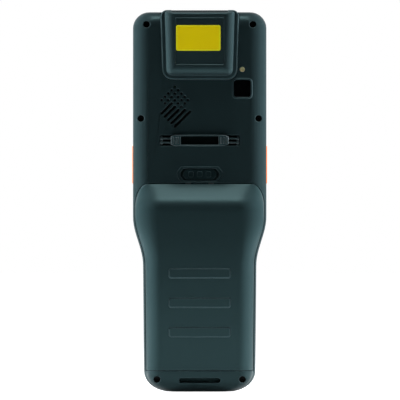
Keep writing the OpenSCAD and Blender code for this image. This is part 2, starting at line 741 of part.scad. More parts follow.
// ---------- Latch ----------
module latch_knob() {
    color([0.17, 0.25, 0.27])
    translate([0, 0, knob_z]) difference() {
        union() {
            deep(-back_y + 0.25, -back_y + 1.05) eight_sided(knob_w, knob_h, 1.8);
            deep(-back_y + 0.9, hook_y_low) square([stem_w, stem_h], center = true);
        }
        for (i = [-1:1]) translate([i * 4.6, 0]) deep(-back_y - 1, -back_y + 0.5) rounded(2.6, 2.8, 0.6);
    }
}

module latch_bolt() {
    color([0.6, 0.6, 0.62])
    difference() {
        union() {
            block([-hook_x - 3, hook_y_low, knob_z - 2.4], [hook_x + 3, hook_y_high, knob_z + 3.6]);
            for (side = [-1, 1])
                block([side * hook_x - hook_w / 2, hook_y_low, cover_z_high - cover_wall - 1.4],
                      [side * hook_x + hook_w / 2, hook_y_high, knob_z - 2.4 + eps]);
        }
        for (side = [-1, 1])
            translate([side * (hook_x - 0.5), 0, knob_z + 1.6]) rod(hook_y_low - 1, hook_y_high + 1, 0.9);
    }
}

// ---------- Scanner ----------
ledge_inset = 2.3;      // width of the ledge around the hood
plateau_inset = 6.9;    // from the hood's side to its plateau
recess_h = hood_len - recess_low_gap - recess_top_gap;
recess_z = hood_z_low + recess_low_gap + recess_h / 2;
window_w = 29.6;
window_t = 1.4;
window_y_low = hood_y + 3.2;
window_y_high = window_y_low + 9.2;
window_z = hood_z_top - 2.4;
engine_w = 21;
engine_h = 15;
engine_y_low = hood_y + 2.8;
engine_y_high = engine_y_low + 10;
engine_z = hood_z_top - 15.5;
engine_top = engine_z + engine_h / 2 - 1;
LENSES = [[-4.6, 3.3, 2.5, -1], [5.2, 2.2, 1.6, 0.6]];   // [x, outer radius, bore, start of the bore]
bracket_w = 24;
bracket_h = 17;
bracket_t = 0.8;
bracket_z = engine_z - 0.5;
room_z_low = hood_z_low + 3.3;
room_z_high = hood_z_top - 3.5;

module scanner_hood() {
    color([0.15, 0.22, 0.23])
    difference() {
        // from the inner edge out to the ledge and up to the plateau: [depth, inset, distance below the end]
        rotate([90, 0, 0]) loft([for (ring = concat(
            [[-hood_front_y, 0, 0], [-ledge_y - 0.5, 0, 0], [-ledge_y, 0.5, 0.5]],
            [for (a = [0:15:90]) [mix(-ledge_y, -hood_y, sin(a)), mix(ledge_inset, plateau_inset, 1 - cos(a)),
                                  mix(0.8, 2.4, 1 - cos(a))]]
        )) [ring[0], hood_points(ring[1], hood_z_top - ring[2])]]);
        // label recess
        translate([0, 0, recess_z]) deep(hood_y - 1, hood_y + 0.4) rounded(recess_w, recess_h, 0.6);
        // room for the scan engine, and for its bracket at the open side
        translate([0, 0, (room_z_low + room_z_high) / 2]) {
            deep(hood_y + 1.9, hood_front_y + 1) rounded(engine_w + 3, room_z_high - room_z_low - 3, 2);
            deep(engine_y_high - 1, hood_front_y + 1) rounded(window_w, room_z_high - room_z_low, 2);
        }
        // window seat and light path
        block([-window_w / 2 - fit / 2, window_y_low - fit / 2, window_z],
              [window_w / 2 + fit / 2, window_y_high + fit / 2, hood_z_top + 1]);
        block([-engine_w / 2 - 1.5, window_y_low + 1.2, room_z_high - 2],
              [engine_w / 2 + 1.5, window_y_high - 1.2, window_z + 1]);
        // screw holes of the engine bracket
        for (side = [-1, 1])
            translate([side * (window_w / 2 + 1.1), 0, bracket_z]) rod(-1, hood_front_y + 1, 0.6);
    }
}

module scan_window() {
    color([0.25, 0.02, 0.02, 0.7])
    block([-window_w / 2, window_y_low, window_z], [window_w / 2, window_y_high, window_z + window_t]);
}

module scan_engine() {
    lens_y = (engine_y_low + engine_y_high) / 2;
    color([0.12, 0.12, 0.13])
    difference() {
        union() {
            translate([0, 0, engine_z]) deep(engine_y_low, engine_y_high) rounded(engine_w, engine_h, 0.8);
            for (lens = LENSES) translate([lens[0], lens_y, engine_top]) cylinder(r = lens[1], h = 3);
        }
        for (lens = LENSES) translate([lens[0], lens_y, engine_top + lens[3]]) cylinder(r = lens[2], h = 5);
        block([-engine_w / 2 + 1.5, engine_y_low - 1, engine_z - 6],
              [engine_w / 2 - 1.5, engine_y_low + 0.5, engine_z + 4.5]);
    }
}

module engine_bracket() {
    ear_x = window_w / 2 - 1.8;
    color([0.55, 0.56, 0.58])
    difference() {
        union() {
            translate([0, 0, bracket_z])
                deep(engine_y_high, engine_y_high + bracket_t) rounded(bracket_w, bracket_h, 1);
            for (side = [-1, 1]) {
                translate([side * ear_x, 0, bracket_z])
                    deep(engine_y_high, engine_y_high + bracket_t) rounded(3.2, 5, 0.6);
                translate([side * (engine_w / 2 + 0.5), 0, bracket_z])
                    deep(engine_y_high - 5.8, engine_y_high + 0.4) square([0.8, 10], center = true);
            }
        }
        translate([0, 0, bracket_z])
            deep(engine_y_high - 1, engine_y_high + 2) rounded(bracket_w / 2, bracket_h / 2, 1);
    }
}

module label_plate() {
    color([0.95, 0.8, 0.1])
    translate([-0.75, 0, recess_z + 1.65]) deep(hood_y + 0.15, hood_y + 0.4) rounded(label_w, label_h, 1);
}

// ---------- Camera, flash and speaker ----------
module camera_window() {
    color([0.02, 0.02, 0.02])
    translate([camera_x, 0, camera_z])
        deep(-back_y - 0.1, -back_y + 1) rounded(camera_w, camera_w + 0.2, 1.4);
}

module camera_module() {
    color([0.1, 0.1, 0.1])
    translate([camera_x, 0, camera_z]) {
        deep(inner_back_y + 0.4, inner_back_y + 4.2) square([camera_w - 1.1, camera_w - 1.1], center = true);
        rod(-back_y + 1.2, inner_back_y + 0.5, camera_w / 2 - 1.55);
    }
}

module flash_lens() {
    color([1, 0.9, 0.6])
    translate([camera_x, 0, flash_z]) {
        rod(-back_y - 0.15, inner_back_y + 0.1, flash_d / 2);
        deep(inner_back_y + 0.1, inner_back_y + 1.1) square([flash_d + 1, flash_d + 1], center = true);
    }
}

module speaker() {
    color([0.2, 0.2, 0.2])
    translate([grille_x, 0, grille_z]) {
        deep(inner_back_y + 0.5, inner_back_y + 4.2) rounded(19, 18, 2);
        rod(inner_back_y + 4.1, inner_back_y + 5.2, 6);
    }
}

module speaker_mesh() {
    color([0.3, 0.3, 0.3])
    translate([grille_x, 0, grille_z]) deep(inner_back_y, inner_back_y + 0.4) rounded(20, 19, 2);
}

// ---------- Strap eye ----------
eye_rise = 3.4;
eye_bar = 1.6;
eye_post = 5.1;
module strap_eye() {
    window_h = 4.4;
    color([0.5, 0.53, 0.54])
    translate([0, 0, eye_z]) difference() {
        union() {
            // raised loop
            deep(-back_y - eye_rise, -back_y - eye_rise + eye_bar) polygon([
                [-eye_half, -2.1], [-eye_half + 2, -2.8], [eye_half - 2, -2.8], [eye_half, -2.1],
                [eye_half, 2.1], [eye_half - 2, 2.8], [-eye_half + 2, 2.8], [-eye_half, 2.1]]);
            // posts down into the well
            for (side = [-1, 1]) {
                translate([side * (eye_half - eye_post / 2), 0])
                    deep(-back_y - eye_rise, well_y) square([eye_post, 4.2], center = true);
                // two bars on each side that lock the posts in the well
                for (v = [-1, 1]) translate([side * (eye_half + 2.8), 0, v * 1.1])
                    deep(-back_y + 0.5, well_y - 1) square([5.8, 0.8], center = true);
                translate([side * (eye_half + 5), 0])
                    deep(-back_y + 0.9, well_y) square([1, 4.4], center = true);
            }
        }
        deep(-20, 0) square([2 * (eye_half - eye_post), window_h], center = true);
        // ribs on the posts
        for (side = [-1, 1]) for (i = [0:2])
            translate([side * (eye_half - 1.2 - i * 1.3), 0])
                deep(-20, -back_y - eye_rise + 0.35) square([0.5, 3.4], center = true);
    }
}

// ---------- Screws ----------
module screw() {
    difference() {
        union() {
            rod(screw_seat_y - head_t, screw_seat_y, head_r);
            rod(screw_seat_y - eps, parting_y + 5, screw_r);
        }
        rod(screw_seat_y - head_t - 1, screw_seat_y - head_t + 0.8, 0.7, $fn = 6);
    }
}

module housing_screws() {
    color([0.1, 0.1, 0.1])
    for (s = SCREWS) translate([s[0], 0, s[1]]) screw();
}

// ---------- Boards and display ----------
board_half = body_half_w - 4;
board_z_low = 7;
board_z_wide = cover_z_high + 3.1;           // the board is wide above the grip
board_z_high = body_len - 14;
board_tail_half = bezel_w / 2 - 3.8;
chip_side = 7;                               // from the board's edge to its chips
chip_x = board_half - chip_side;
can_t = 1.8;
can_low_gap = 3;                             // from the wide part's lower edge to the lower can
can_top_gap = 16;                            // from the board's upper edge to the upper can
CANS = [[-8, 1, 22, 26], [10, -1, 30, 22]];  // [x, 1 from the lower edge or -1 from the upper, width, height]
module_rim_w = 4;                            // what the display module is wider than the lit picture
module_rim_h = 8;
module_shift = 1;
module_gap = 2.6;                            // from the main board to the display module

module main_board() {
    board_front = board_y + board_t;
    color([0.05, 0.25, 0.15]) {
        deep(board_y, board_front) difference() {
            union() {
                translate([-board_half, board_z_wide]) square([2 * board_half, board_z_high - board_z_wide]);
                translate([-board_tail_half, board_z_low])
                    square([2 * board_tail_half, board_z_wide - board_z_low + 3]);
            }
            for (s = SCREWS) translate(s) circle(boss_r + 0.5);
        }
        // chips, coils and the connectors of the scan engine and of the keypad board
        for (i = [0:1]) translate([-chip_x, 0, board_z_wide + 8 + 16 * i])
            deep(board_front, board_front + 1) square([10, 10], center = true);
        for (i = [0:5]) translate([chip_x, 0, board_z_wide + 8 + 5 * i])
            deep(board_front, board_front + 0.8) square([3, 2], center = true);
        translate([0, 0, engine_z - 10.75]) deep(board_y - 2.6, board_y) square([12, 4.5], center = true);
        translate([0, 0, ring_z - 22]) deep(board_front, mat_y - 2) square([16, 4], center = true);
    }
}

module shield_cans() {
    color([0.7, 0.7, 0.72])
    for (can = CANS)
        translate([can[0], 0, can[1] > 0 ? board_z_wide + can_low_gap + can[3] / 2
                                         : board_z_high - can_top_gap - can[3] / 2])
            deep(board_y - can_t, board_y) rounded(can[2], can[3], 0.8);
}

module display_module() {
    color([0.02, 0.03, 0.05])
    translate([0, 0, glass_mid_z + module_shift])
        deep(board_y + module_gap, glass_y - 0.1)
            rounded(screen_w + module_rim_w, screen_h + module_rim_h, 1);
}

module touch_glass() {
    color([0.03, 0.03, 0.04])
    translate([0, 0, glass_mid_z]) deep(glass_y, front_y) rounded(glass_w, glass_h, glass_r);
}

module keypad_board() {
    color([0.05, 0.25, 0.15])
    translate([0, 0, bezel_mid_z]) deep(mat_y - 1.9, mat_y - 1) rounded(bezel_w - 4, bezel_h - 4, 4);
}

module keypad_mat() {
    color([0.75, 0.75, 0.73])
    translate([0, 0, bezel_mid_z]) deep(mat_y - 1, mat_y) rounded(bezel_w - 4, bezel_h - 4, 4);
}

module keypad_bezel() {
    color([0.08, 0.1, 0.11])
    deep(bezel_y, front_y) difference() {
        translate([0, bezel_mid_z]) rounded(bezel_w, bezel_h, bezel_r - fit);
        for (row = [0:3]) for (col = [0:3])
            translate(grid_at(row, col)) rounded(key_w + 2 * key_gap, key_h + 2 * key_gap, 1.6);
        for (corner = CORNERS)
            translate(corner_at(corner)) rounded(corner_w + 2 * key_gap, corner_h + 2 * key_gap, 1.8);
        translate([0, ring_z]) circle(ring_r + key_gap);
    }
}

module receiver() {
    color([0.2, 0.2, 0.2])
    translate([0, 0, receiver_z - 2.6])
        deep(inner_front_y - 3, inner_front_y - 0.1) rounded(receiver_w, 7, 1);
}

module status_light() {
    color([0.6, 0.9, 0.6])
    translate([light_x, 0, receiver_z]) rod(inner_front_y - 0.5, front_y + 0.05, light_r);
}

module dock_connector() {
    color([0.6, 0.6, 0.62])
    difference() {
        block([-dock_w / 2, dock_y - dock_h / 2, dock_z_low],
              [dock_w / 2, dock_y + dock_h / 2, dock_z_low + dock_len]);
        block([-dock_w / 2 + 0.5, dock_y - dock_h / 2 + 0.45, 0],
              [dock_w / 2 - 0.5, dock_y + dock_h / 2 - 0.45, dock_z_low + dock_len - 2.1]);
    }
}

// ---------- Keys ----------
// The keypad is read from +Y, so its left is at +X
function grid_at(row, col) = [(1.5 - col) * key_pitch_x, key_row_z + row * key_pitch_z];
corner_x = bezel_w / 2 - key_side - 0.2 - corner_w / 2;
corner_dz = ring_r - 2.1;
function corner_at(corner) = [-corner[1] * corner_x, ring_z + corner[2] * corner_dz];
cap_y = front_y + key_rise;

function box_points(w, h, r) = concat(
    corner_points(w / 2 - r, h / 2 - r, r, 0, 3), corner_points(-w / 2 + r, h / 2 - r, r, 90, 3),
    corner_points(-w / 2 + r, -h / 2 + r, r, 180, 3), corner_points(w / 2 - r, -h / 2 + r, r, 270, 3)
);

module key_body(w, h, r) {
    deep(flange_y - flange_t, flange_y) rounded(w + 1, h + 1, r + 0.3);
    rings = [[flange_y - eps, 0], [cap_y - 0.6, 0], [cap_y - 0.15, 0.3], [cap_y, 0.8]];   // [height, inset]
    rotate([-90, 0, 0]) loft([for (ring = rings)
        [ring[0], box_points(w - 2 * ring[1], h - 2 * ring[1], r - ring[1] / 2)]]);
}

module grid_key(row, col) {
    at = grid_at(row, col);
    color([0.2, 0.22, 0.24]) translate([at[0], 0, at[1]]) key_body(key_w, key_h, 1.4);
}

module corner_key(corner) {
    at = corner_at(corner);
    color([0.2, 0.22, 0.24]) translate([at[0], 0, at[1]]) key_body(corner_w, corner_h, 1.6);
}

module ring_sector(r_low, r_high, half_angle) {
    intersection() {
        difference() {
            circle(r_high);
            circle(r_low);
        }
        polygon(2 * r_high * [[0, 0], [cos(half_angle), -sin(half_angle)], [1, 0],
                              [cos(half_angle), sin(half_angle)]]);
    }
}

module arrow_key(angle) {
    color([0.2, 0.22, 0.24]) translate([0, 0, ring_z]) {
        inner_r = scan_key_r + key_gap + 0.35;
        deep(flange_y - flange_t, cap_y - 0.5) rotate(angle) ring_sector(inner_r, ring_r, 43.6);
        deep(cap_y - 0.5 - eps, cap_y - 0.2) rotate(angle) ring_sector(inner_r + 0.35, ring_r - 0.4, 42);
        deep(flange_y - flange_t, flange_y) rotate(angle) ring_sector(inner_r, ring_r + 0.7, 43.6);
    }
}

module scan_key() {
    color([0.95, 0.4, 0.08]) translate([0, 0, ring_z]) {
        rod(flange_y - flange_t, cap_y - 0.6, scan_key_r);
        translate([0, cap_y - 0.6, 0]) rotate([-90, 0, 0])
            cylinder(r1 = scan_key_r, r2 = scan_key_r - 0.8, h = 0.6);
    }
}

module side_key(side) {
    color([0.95, 0.45, 0.1])
    translate([0, side_key_y, side_key_z]) rotate([0, side * 90, 0]) {
        translate([0, 0, body_half_w - wall - 0.9]) linear_extrude(0.8) rotate(90)
            rounded(side_key_w + side_flange, side_key_len + side_flange, 1.8);
        // straight sides through the housing, then a rounded crown
        rings = [[-wall - 0.2, 0], [-eps, 0], [side_key_rise - 0.15, 0.2], [side_key_rise, 0.6]];
        rotate(90) loft([for (ring = rings) let (inset = 2 * ring[1])
            [body_half_w + ring[0], box_points(side_key_w - inset, side_key_len - inset, 1.5 - inset / 4)]]);
    }
}

module side_switches() {
    switch_x = body_half_w - wall - 2.9;
    color([0.7, 0.7, 0.7])
    for (side = [-1, 1]) translate([side * switch_x, 0, side_key_z])
        deep(board_y + board_t, inner_front_y - 0.4) square([1.4, 8], center = true);
}

front_housing();
rear_housing();
battery_cover();
scanner_hood();
scan_window();
scan_engine();
engine_bracket();
label_plate();
camera_window();
camera_module();
flash_lens();
speaker();
speaker_mesh();
strap_eye();
latch_knob();
latch_bolt();
housing_screws();
battery_pack();
battery_contacts();
cover_gasket();
housing_seal();
main_board();
shield_cans();
keypad_board();
keypad_mat();
keypad_bezel();
touch_glass();
display_module();
receiver();
status_light();
dock_connector();
side_switches();
side_key(-1);  // side_key_left
side_key(1);  // side_key_right
scan_key();
for (arrow = ARROWS) arrow_key(arrow[1]);
for (corner = CORNERS) corner_key(corner);
for (row = [0:3]) for (col = [0:3]) grid_key(row, col);
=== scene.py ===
"""Looks for a handheld data terminal: moulded shells, fittings, keys and a plain studio.

Every solid comes in metres, standing on the floor with its back to -Y and its keypad side to +Y.
"""

import json
import math

import bmesh
import bpy
from bpy.props import FloatProperty, FloatVectorProperty, PointerProperty
from mathutils import Matrix, Vector


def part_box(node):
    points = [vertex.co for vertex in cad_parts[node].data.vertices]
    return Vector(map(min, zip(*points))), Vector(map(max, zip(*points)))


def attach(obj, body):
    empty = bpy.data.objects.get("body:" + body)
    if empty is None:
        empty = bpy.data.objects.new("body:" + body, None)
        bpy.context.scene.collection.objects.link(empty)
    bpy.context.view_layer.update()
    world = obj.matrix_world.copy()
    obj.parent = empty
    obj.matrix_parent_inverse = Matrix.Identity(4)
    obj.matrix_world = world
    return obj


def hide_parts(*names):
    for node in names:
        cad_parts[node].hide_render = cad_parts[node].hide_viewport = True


bl_info = {
    "name": "Data terminal looks",
    "version": (1, 0, 0),
    "blender": (4, 5, 0),
    "location": "View3D > Sidebar > Terminal",
    "description": "Dresses the shells, fittings and keys of a handheld data terminal",
    "category": "Object",
}

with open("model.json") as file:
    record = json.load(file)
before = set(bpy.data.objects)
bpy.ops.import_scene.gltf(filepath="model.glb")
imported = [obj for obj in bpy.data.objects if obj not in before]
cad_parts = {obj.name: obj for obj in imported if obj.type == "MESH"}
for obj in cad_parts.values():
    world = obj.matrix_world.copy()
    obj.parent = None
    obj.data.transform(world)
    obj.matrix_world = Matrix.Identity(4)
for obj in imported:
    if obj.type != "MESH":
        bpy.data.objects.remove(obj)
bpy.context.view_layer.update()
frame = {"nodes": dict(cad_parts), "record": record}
BODY_OF = {node: body for body, nodes in frame["record"]["behaviour"]["bodies"].items() for node in nodes}
MM = 0.001

NUMBER_KEYS = {f"key_{digit}": str(digit) for digit in range(10)}
ARROW_KEYS = {"key_left": 180, "key_up": 90, "key_right": 0, "key_down": 270}
SIGN_KEYS = ("key_point", "key_fn", "key_enter", "key_shift", "key_tab", "key_delete",
             "home_key", "power_key", "left_soft_key", "right_soft_key")


def srgb(red, green, blue):
    """A colour given as 0 to 255 on screen, as the linear values that the shaders want."""
    def linear(value):
        value /= 255
        return value / 12.92 if value <= 0.04045 else ((value + 0.055) / 1.055) ** 2.4
    return linear(red), linear(green), linear(blue)


# ---------------------------------------------------------------- settings

def color_setting(name, description, default):
    return FloatVectorProperty(name=name, description=description, subtype="COLOR", size=3,
                               default=default, min=0, max=1)


def length_setting(name, description, default_mm):
    return FloatProperty(name=name, description=description, default=default_mm * MM, min=0,
                         unit="LENGTH", precision=5)


def factor_setting(name, description, default, low=0.0, high=1.0):
    return FloatProperty(name=name, description=description, default=default, min=low, max=high,
                         subtype="FACTOR")


def power_setting(name, description, default):
    return FloatProperty(name=name, description=description, default=default, min=0, unit="POWER")


class TerminalShells(bpy.types.PropertyGroup):
    """Sizes and colours of the moulded shells."""
    housing_color: color_setting("Housing", "Colour of the front and rear housing", srgb(38, 53, 56))
    cover_color: color_setting("Cover", "Colour of the battery cover", srgb(42, 60, 63))
    hood_color: color_setting("Hood", "Colour of the scanner hood", srgb(44, 60, 63))
    worn_color: color_setting("Worn edge", "Colour of the rubbed edges", srgb(86, 106, 111))
    edge: length_setting("Edge radius", "Rounding of the moulded edges", 0.18)
    grain: length_setting("Grain", "Size of the moulded grain", 0.35)
    roughness: factor_setting("Roughness", "Roughness of the moulded plastic", 0.36)
    sheen_color: color_setting("Sheen", "Tint of the plastic's straight reflections", srgb(184, 248, 252))
    sheen: factor_setting("Sheen level", "Strength of the plastic's straight reflections", 0.4)


class TerminalFittings(bpy.types.PropertyGroup):
    """Sizes and colours of the fittings on the back and in the ends."""
    label_color: color_setting("Label", "Colour of the label plate", srgb(255, 230, 4))
    eye_color: color_setting("Strap eye", "Colour of the strap eye", srgb(46, 66, 68))
    knob_color: color_setting("Latch knob", "Colour of the latch knob", srgb(18, 31, 34))
    screw_color: color_setting("Screws", "Colour of the housing screws", srgb(16, 18, 20))
    flash_color: color_setting("Flash lens", "Colour of the flash lens", srgb(196, 188, 140))
    wire_pitch: length_setting("Wire pitch", "Distance between the wires of the speaker mesh", 0.6)
    wire_width: length_setting("Wire", "Width of a wire of the speaker mesh", 0.16)


class TerminalKeys(bpy.types.PropertyGroup):
    """Sizes and colours of the keys and the display."""
    key_color: color_setting("Keys", "Colour of the moulded keys", srgb(52, 58, 62))
    scan_color: color_setting("Scan keys", "Colour of the round and side scan keys", srgb(226, 104, 24))
    bezel_color: color_setting("Bezel", "Colour of the keypad bezel", srgb(20, 26, 29))
    print_color: color_setting("Print", "Colour of the signs on the keys", srgb(226, 228, 226))
    sign_height: length_setting("Sign height", "Height of the numbers on the keys", 4.0)
    sign_rise: length_setting("Sign rise", "How far the print stands on a key", 0.012)


class TerminalStudio(bpy.types.PropertyGroup):
    """The studio around the terminal."""
    floor_color: color_setting("Floor", "Colour of the floor", srgb(170, 172, 174))
    side_wash: power_setting("Side wash", "Power of each side lamp that no reflection shows", 32.0)
    side_light: power_setting("Side lamps", "Power of each side lamp that reflections show", 1.5)
    top_light: power_setting("Top lamp", "Power of the lamp overhead", 0.5)
    front_light: power_setting("Front lamp", "Power of the lamp above and in front of the back", 2.4)
    fill: factor_setting("Fill", "Light from where the back faces", 0.0)
    keypad_fill: factor_setting("Keypad fill", "Light from where the keypad faces", 0.5)
    reflection: factor_setting("Reflection", "Brightness of what the keypad side reflects", 0.5)
    floor_mirror: factor_setting("Floor mirror", "Brightness of the floor in reflections", 0.49)
    distance: FloatProperty(name="Distance", description="From the camera to the terminal", default=5.0,
                            min=1, unit="LENGTH")
    picture_width: length_setting("Picture width", "Width that the picture takes in", 209.8)
    aim_height: length_setting("Aim height", "Height that the camera looks at", 100.47)
    aim_side: length_setting("Aim side", "How far to the right the camera looks", 0.16)


# ---------------------------------------------------------------- shader groups

def shader_group(name, inputs, outputs):
    """A shader node group with its sockets made, and its two end nodes."""
    tree = bpy.data.node_groups.new(name, "ShaderNodeTree")
    for label, kind, value in inputs:
        socket = tree.interface.new_socket(label, in_out="INPUT", socket_type="NodeSocket" + kind)
        if value is not None:
            socket.default_value = value
    for label, kind in outputs:
        tree.interface.new_socket(label, in_out="OUTPUT", socket_type="NodeSocket" + kind)
    return tree, tree.nodes.new("NodeGroupInput"), tree.nodes.new("NodeGroupOutput")


def feed(tree, value, socket):
    """Links a socket to the one that it feeds, or gives that one a number or a colour."""
    if isinstance(value, bpy.types.NodeSocket):
        tree.links.new(value, socket)
    elif isinstance(value, (int, float)):
        socket.default_value = value
    else:
        socket.default_value = (*value[:3], 1)


def arithmetic(tree, operation, first, second=None, third=None, clamp=False):
    """A math node of two or three numbers or sockets."""
    node = tree.nodes.new("ShaderNodeMath")
    node.operation = operation
    node.use_clamp = clamp
    for socket, value in zip(node.inputs, (first, second, third)):
        if value is not None:
            feed(tree, value, socket)
    return node.outputs[0]


def centred(tree, value):
    """A noise less its mean, so that it varies around nothing."""
    return arithmetic(tree, "SUBTRACT", value, 0.5)


def mixed_color(tree, factor, first, second):
    """A colour mix of two sockets or colours."""
    node = tree.nodes.new("ShaderNodeMix")
    node.data_type = "RGBA"
    color_a, color_b = 6, 7
    for key, value in (("Factor", factor), (color_a, first), (color_b, second)):
        feed(tree, value, node.inputs[key])
    return node.outputs[2]


def faded(tree, value, near, far, at_near, at_far):
    """A smooth step of a socket: one value up to near, another from far on."""
    node = tree.nodes.new("ShaderNodeMapRange")
    node.interpolation_type = "SMOOTHSTEP"
    for label, number in (("From Min", near), ("From Max", far), ("To Min", at_near), ("To Max", at_far)):
        node.inputs[label].default_value = number
    tree.links.new(value, node.inputs["Value"])
    return node.outputs["Result"]


def noise(tree, position, scale, detail, rough):
    """A noise around a half, with so many spots to a metre."""
    node = tree.nodes.new("ShaderNodeTexNoise")
    node.inputs["Detail"].default_value = detail
    node.inputs["Roughness"].default_value = rough
    tree.links.new(position, node.inputs["Vector"])
    feed(tree, scale, node.inputs["Scale"])
    return node.outputs["Fac"]


def moulded_grain_group():
    """Fine moulded grain, slow changes of tone, and edges rubbed lighter."""
    tree, given, made = shader_group("Moulded grain", [
        ("Position", "Vector", None),
        ("Base", "Color", (0.2, 0.2, 0.2, 1)), ("Worn", "Color", (0.4, 0.4, 0.4, 1)),
        ("Edge", "Float", 0.0), ("Grain", "Float", 0.0004), ("Mottle", "Float", 0.08),
        ("Wear", "Float", 0.5), ("Roughness", "Float", 0.5), ("Grain Roughness", "Float", 0.1),
    ], [("Color", "Color"), ("Roughness", "Float"), ("Height", "Float")])
    position = given.outputs["Position"]
    fine = noise(tree, position, arithmetic(tree, "DIVIDE", 1.0, given.outputs["Grain"]), 2.5, 0.6)
    broad = noise(tree, position, scale=38.0, detail=3.0, rough=0.55)
    patchy = noise(tree, position, scale=210.0, detail=4.0, rough=0.65)
    twice = arithmetic(tree, "MULTIPLY", given.outputs["Mottle"], 2.0)
    tone = arithmetic(tree, "MULTIPLY_ADD", centred(tree, broad), twice, 1.0)
    grainy = arithmetic(tree, "MULTIPLY_ADD", centred(tree, fine), given.outputs["Mottle"], tone)
    toned = tree.nodes.new("ShaderNodeHueSaturation")
    tree.links.new(given.outputs["Base"], toned.inputs["Color"])
    tree.links.new(grainy, toned.inputs["Value"])
    rubbed = arithmetic(tree, "MULTIPLY", given.outputs["Edge"], given.outputs["Wear"])
    broken = arithmetic(tree, "MULTIPLY_ADD", patchy, 1.4, -0.1, clamp=True)
    mask = arithmetic(tree, "MULTIPLY", rubbed, broken, clamp=True)
    worn = mixed_color(tree, mask, toned.outputs["Color"], given.outputs["Worn"])
    tree.links.new(worn, made.inputs["Color"])
    uneven = arithmetic(tree, "MULTIPLY_ADD", centred(tree, fine), given.outputs["Grain Roughness"],
                        given.outputs["Roughness"])
    rubbed_smooth = -0.12
    smoother = arithmetic(tree, "MULTIPLY_ADD", mask, rubbed_smooth, uneven, clamp=True)
    tree.links.new(smoother, made.inputs["Roughness"])
    tree.links.new(fine, made.inputs["Height"])
    return tree


def drawn_lines_group():
    """Lines left by rolling or brushing, drawn out along X."""
    tree, given, made = shader_group("Drawn lines", [
        ("Position", "Vector", None), ("Base", "Color", (0.5, 0.5, 0.5, 1)), ("Line", "Float", 0.0002),
        ("Contrast", "Float", 0.15), ("Roughness", "Float", 0.35),
    ], [("Color", "Color"), ("Roughness", "Float"), ("Height", "Float")])
    stretched = tree.nodes.new("ShaderNodeMapping")
    stretched.inputs["Scale"].default_value = (0.03, 1, 1)
    tree.links.new(given.outputs["Position"], stretched.inputs["Vector"])
    pitch = arithmetic(tree, "DIVIDE", 1.0, given.outputs["Line"])
    lines = noise(tree, stretched.outputs["Vector"], pitch, 3.0, 0.6)
    stains = noise(tree, given.outputs["Position"], scale=120.0, detail=3.0, rough=0.6)
    tone = arithmetic(tree, "MULTIPLY_ADD", centred(tree, lines), given.outputs["Contrast"], 1.0)
    tone = arithmetic(tree, "MULTIPLY_ADD", centred(tree, stains), given.outputs["Contrast"], tone)
    toned = tree.nodes.new("ShaderNodeHueSaturation")
    tree.links.new(given.outputs["Base"], toned.inputs["Color"])
    tree.links.new(tone, toned.inputs["Value"])
    tree.links.new(toned.outputs["Color"], made.inputs["Color"])
    uneven = arithmetic(tree, "MULTIPLY_ADD", centred(tree, lines), 0.25, given.outputs["Roughness"],
                        clamp=True)
    tree.links.new(uneven, made.inputs["Roughness"])
    tree.links.new(lines, made.inputs["Height"])
    return tree


def panel_mask_group():
    """1 inside an upright rectangle in X and Z, with soft edges."""
    tree, given, made = shader_group("Panel mask", [
        ("Position", "Vector", None), ("Centre X", "Float", 0.0), ("Centre Z", "Float", 0.1),
        ("Half Width", "Float", 0.02), ("Half Height", "Float", 0.03), ("Softness", "Float", 0.0003),
    ], [("Mask", "Float")])
    parts = tree.nodes.new("ShaderNodeSeparateXYZ")
    tree.links.new(given.outputs["Position"], parts.inputs["Vector"])
    inside = []
    for axis, centre, half in (("X", "Centre X", "Half Width"), ("Z", "Centre Z", "Half Height")):
        off = arithmetic(tree, "SUBTRACT", parts.outputs[axis], given.outputs[centre])
        left = arithmetic(tree, "SUBTRACT", given.outputs[half], arithmetic(tree, "ABSOLUTE", off))
        inside.append(arithmetic(tree, "DIVIDE", left, given.outputs["Softness"], clamp=True))
    tree.links.new(arithmetic(tree, "MULTIPLY", *inside), made.inputs["Mask"])
    return tree


GROUPS = {}
MATERIALS = {}


def group(name):
    """The shader group of that name, built the first time it is asked for."""
    builders = {"Moulded grain": moulded_grain_group, "Drawn lines": drawn_lines_group,
                "Panel mask": panel_mask_group}
    if name not in GROUPS:
        GROUPS[name] = builders[name]()
    return GROUPS[name]


def place_group(tree, name, position, **values):
    """The group placed in a material, with its own values. Underscores in a value's name stand for spaces."""
    node = tree.nodes.new("ShaderNodeGroup")
    node.node_tree = group(name)
    tree.links.new(position, node.inputs["Position"])
    for label, value in values.items():
        feed(tree, value, node.inputs[label.replace("_", " ")])
    return node


def panel_over(tree, position, node, beside, above, softness):
    """1 inside the upright rectangle around a CAD node, wider by beside and higher by above on each side."""
    low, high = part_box(node)
    return place_group(tree, "Panel mask", position,
                       Centre_X=(low.x + high.x) / 2, Half_Width=(high.x - low.x) / 2 + beside,
                       Centre_Z=(low.z + high.z) / 2, Half_Height=(high.z - low.z) / 2 + above,
                       Softness=softness).outputs["Mask"]


def new_material(name, **sockets):
    """Makes a material with constants on its shader. Gives the tree, the shader and object coordinates."""
    material = bpy.data.materials.new(name)
    material.use_nodes = True
    tree = material.node_tree
    shader = next(node for node in tree.nodes if node.type == "BSDF_PRINCIPLED")
    for label, value in sockets.items():
        shader.inputs[label.replace("_", " ")].default_value = value
    MATERIALS[name] = material
    return tree, shader, tree.nodes.new("ShaderNodeTexCoord").outputs["Object"]


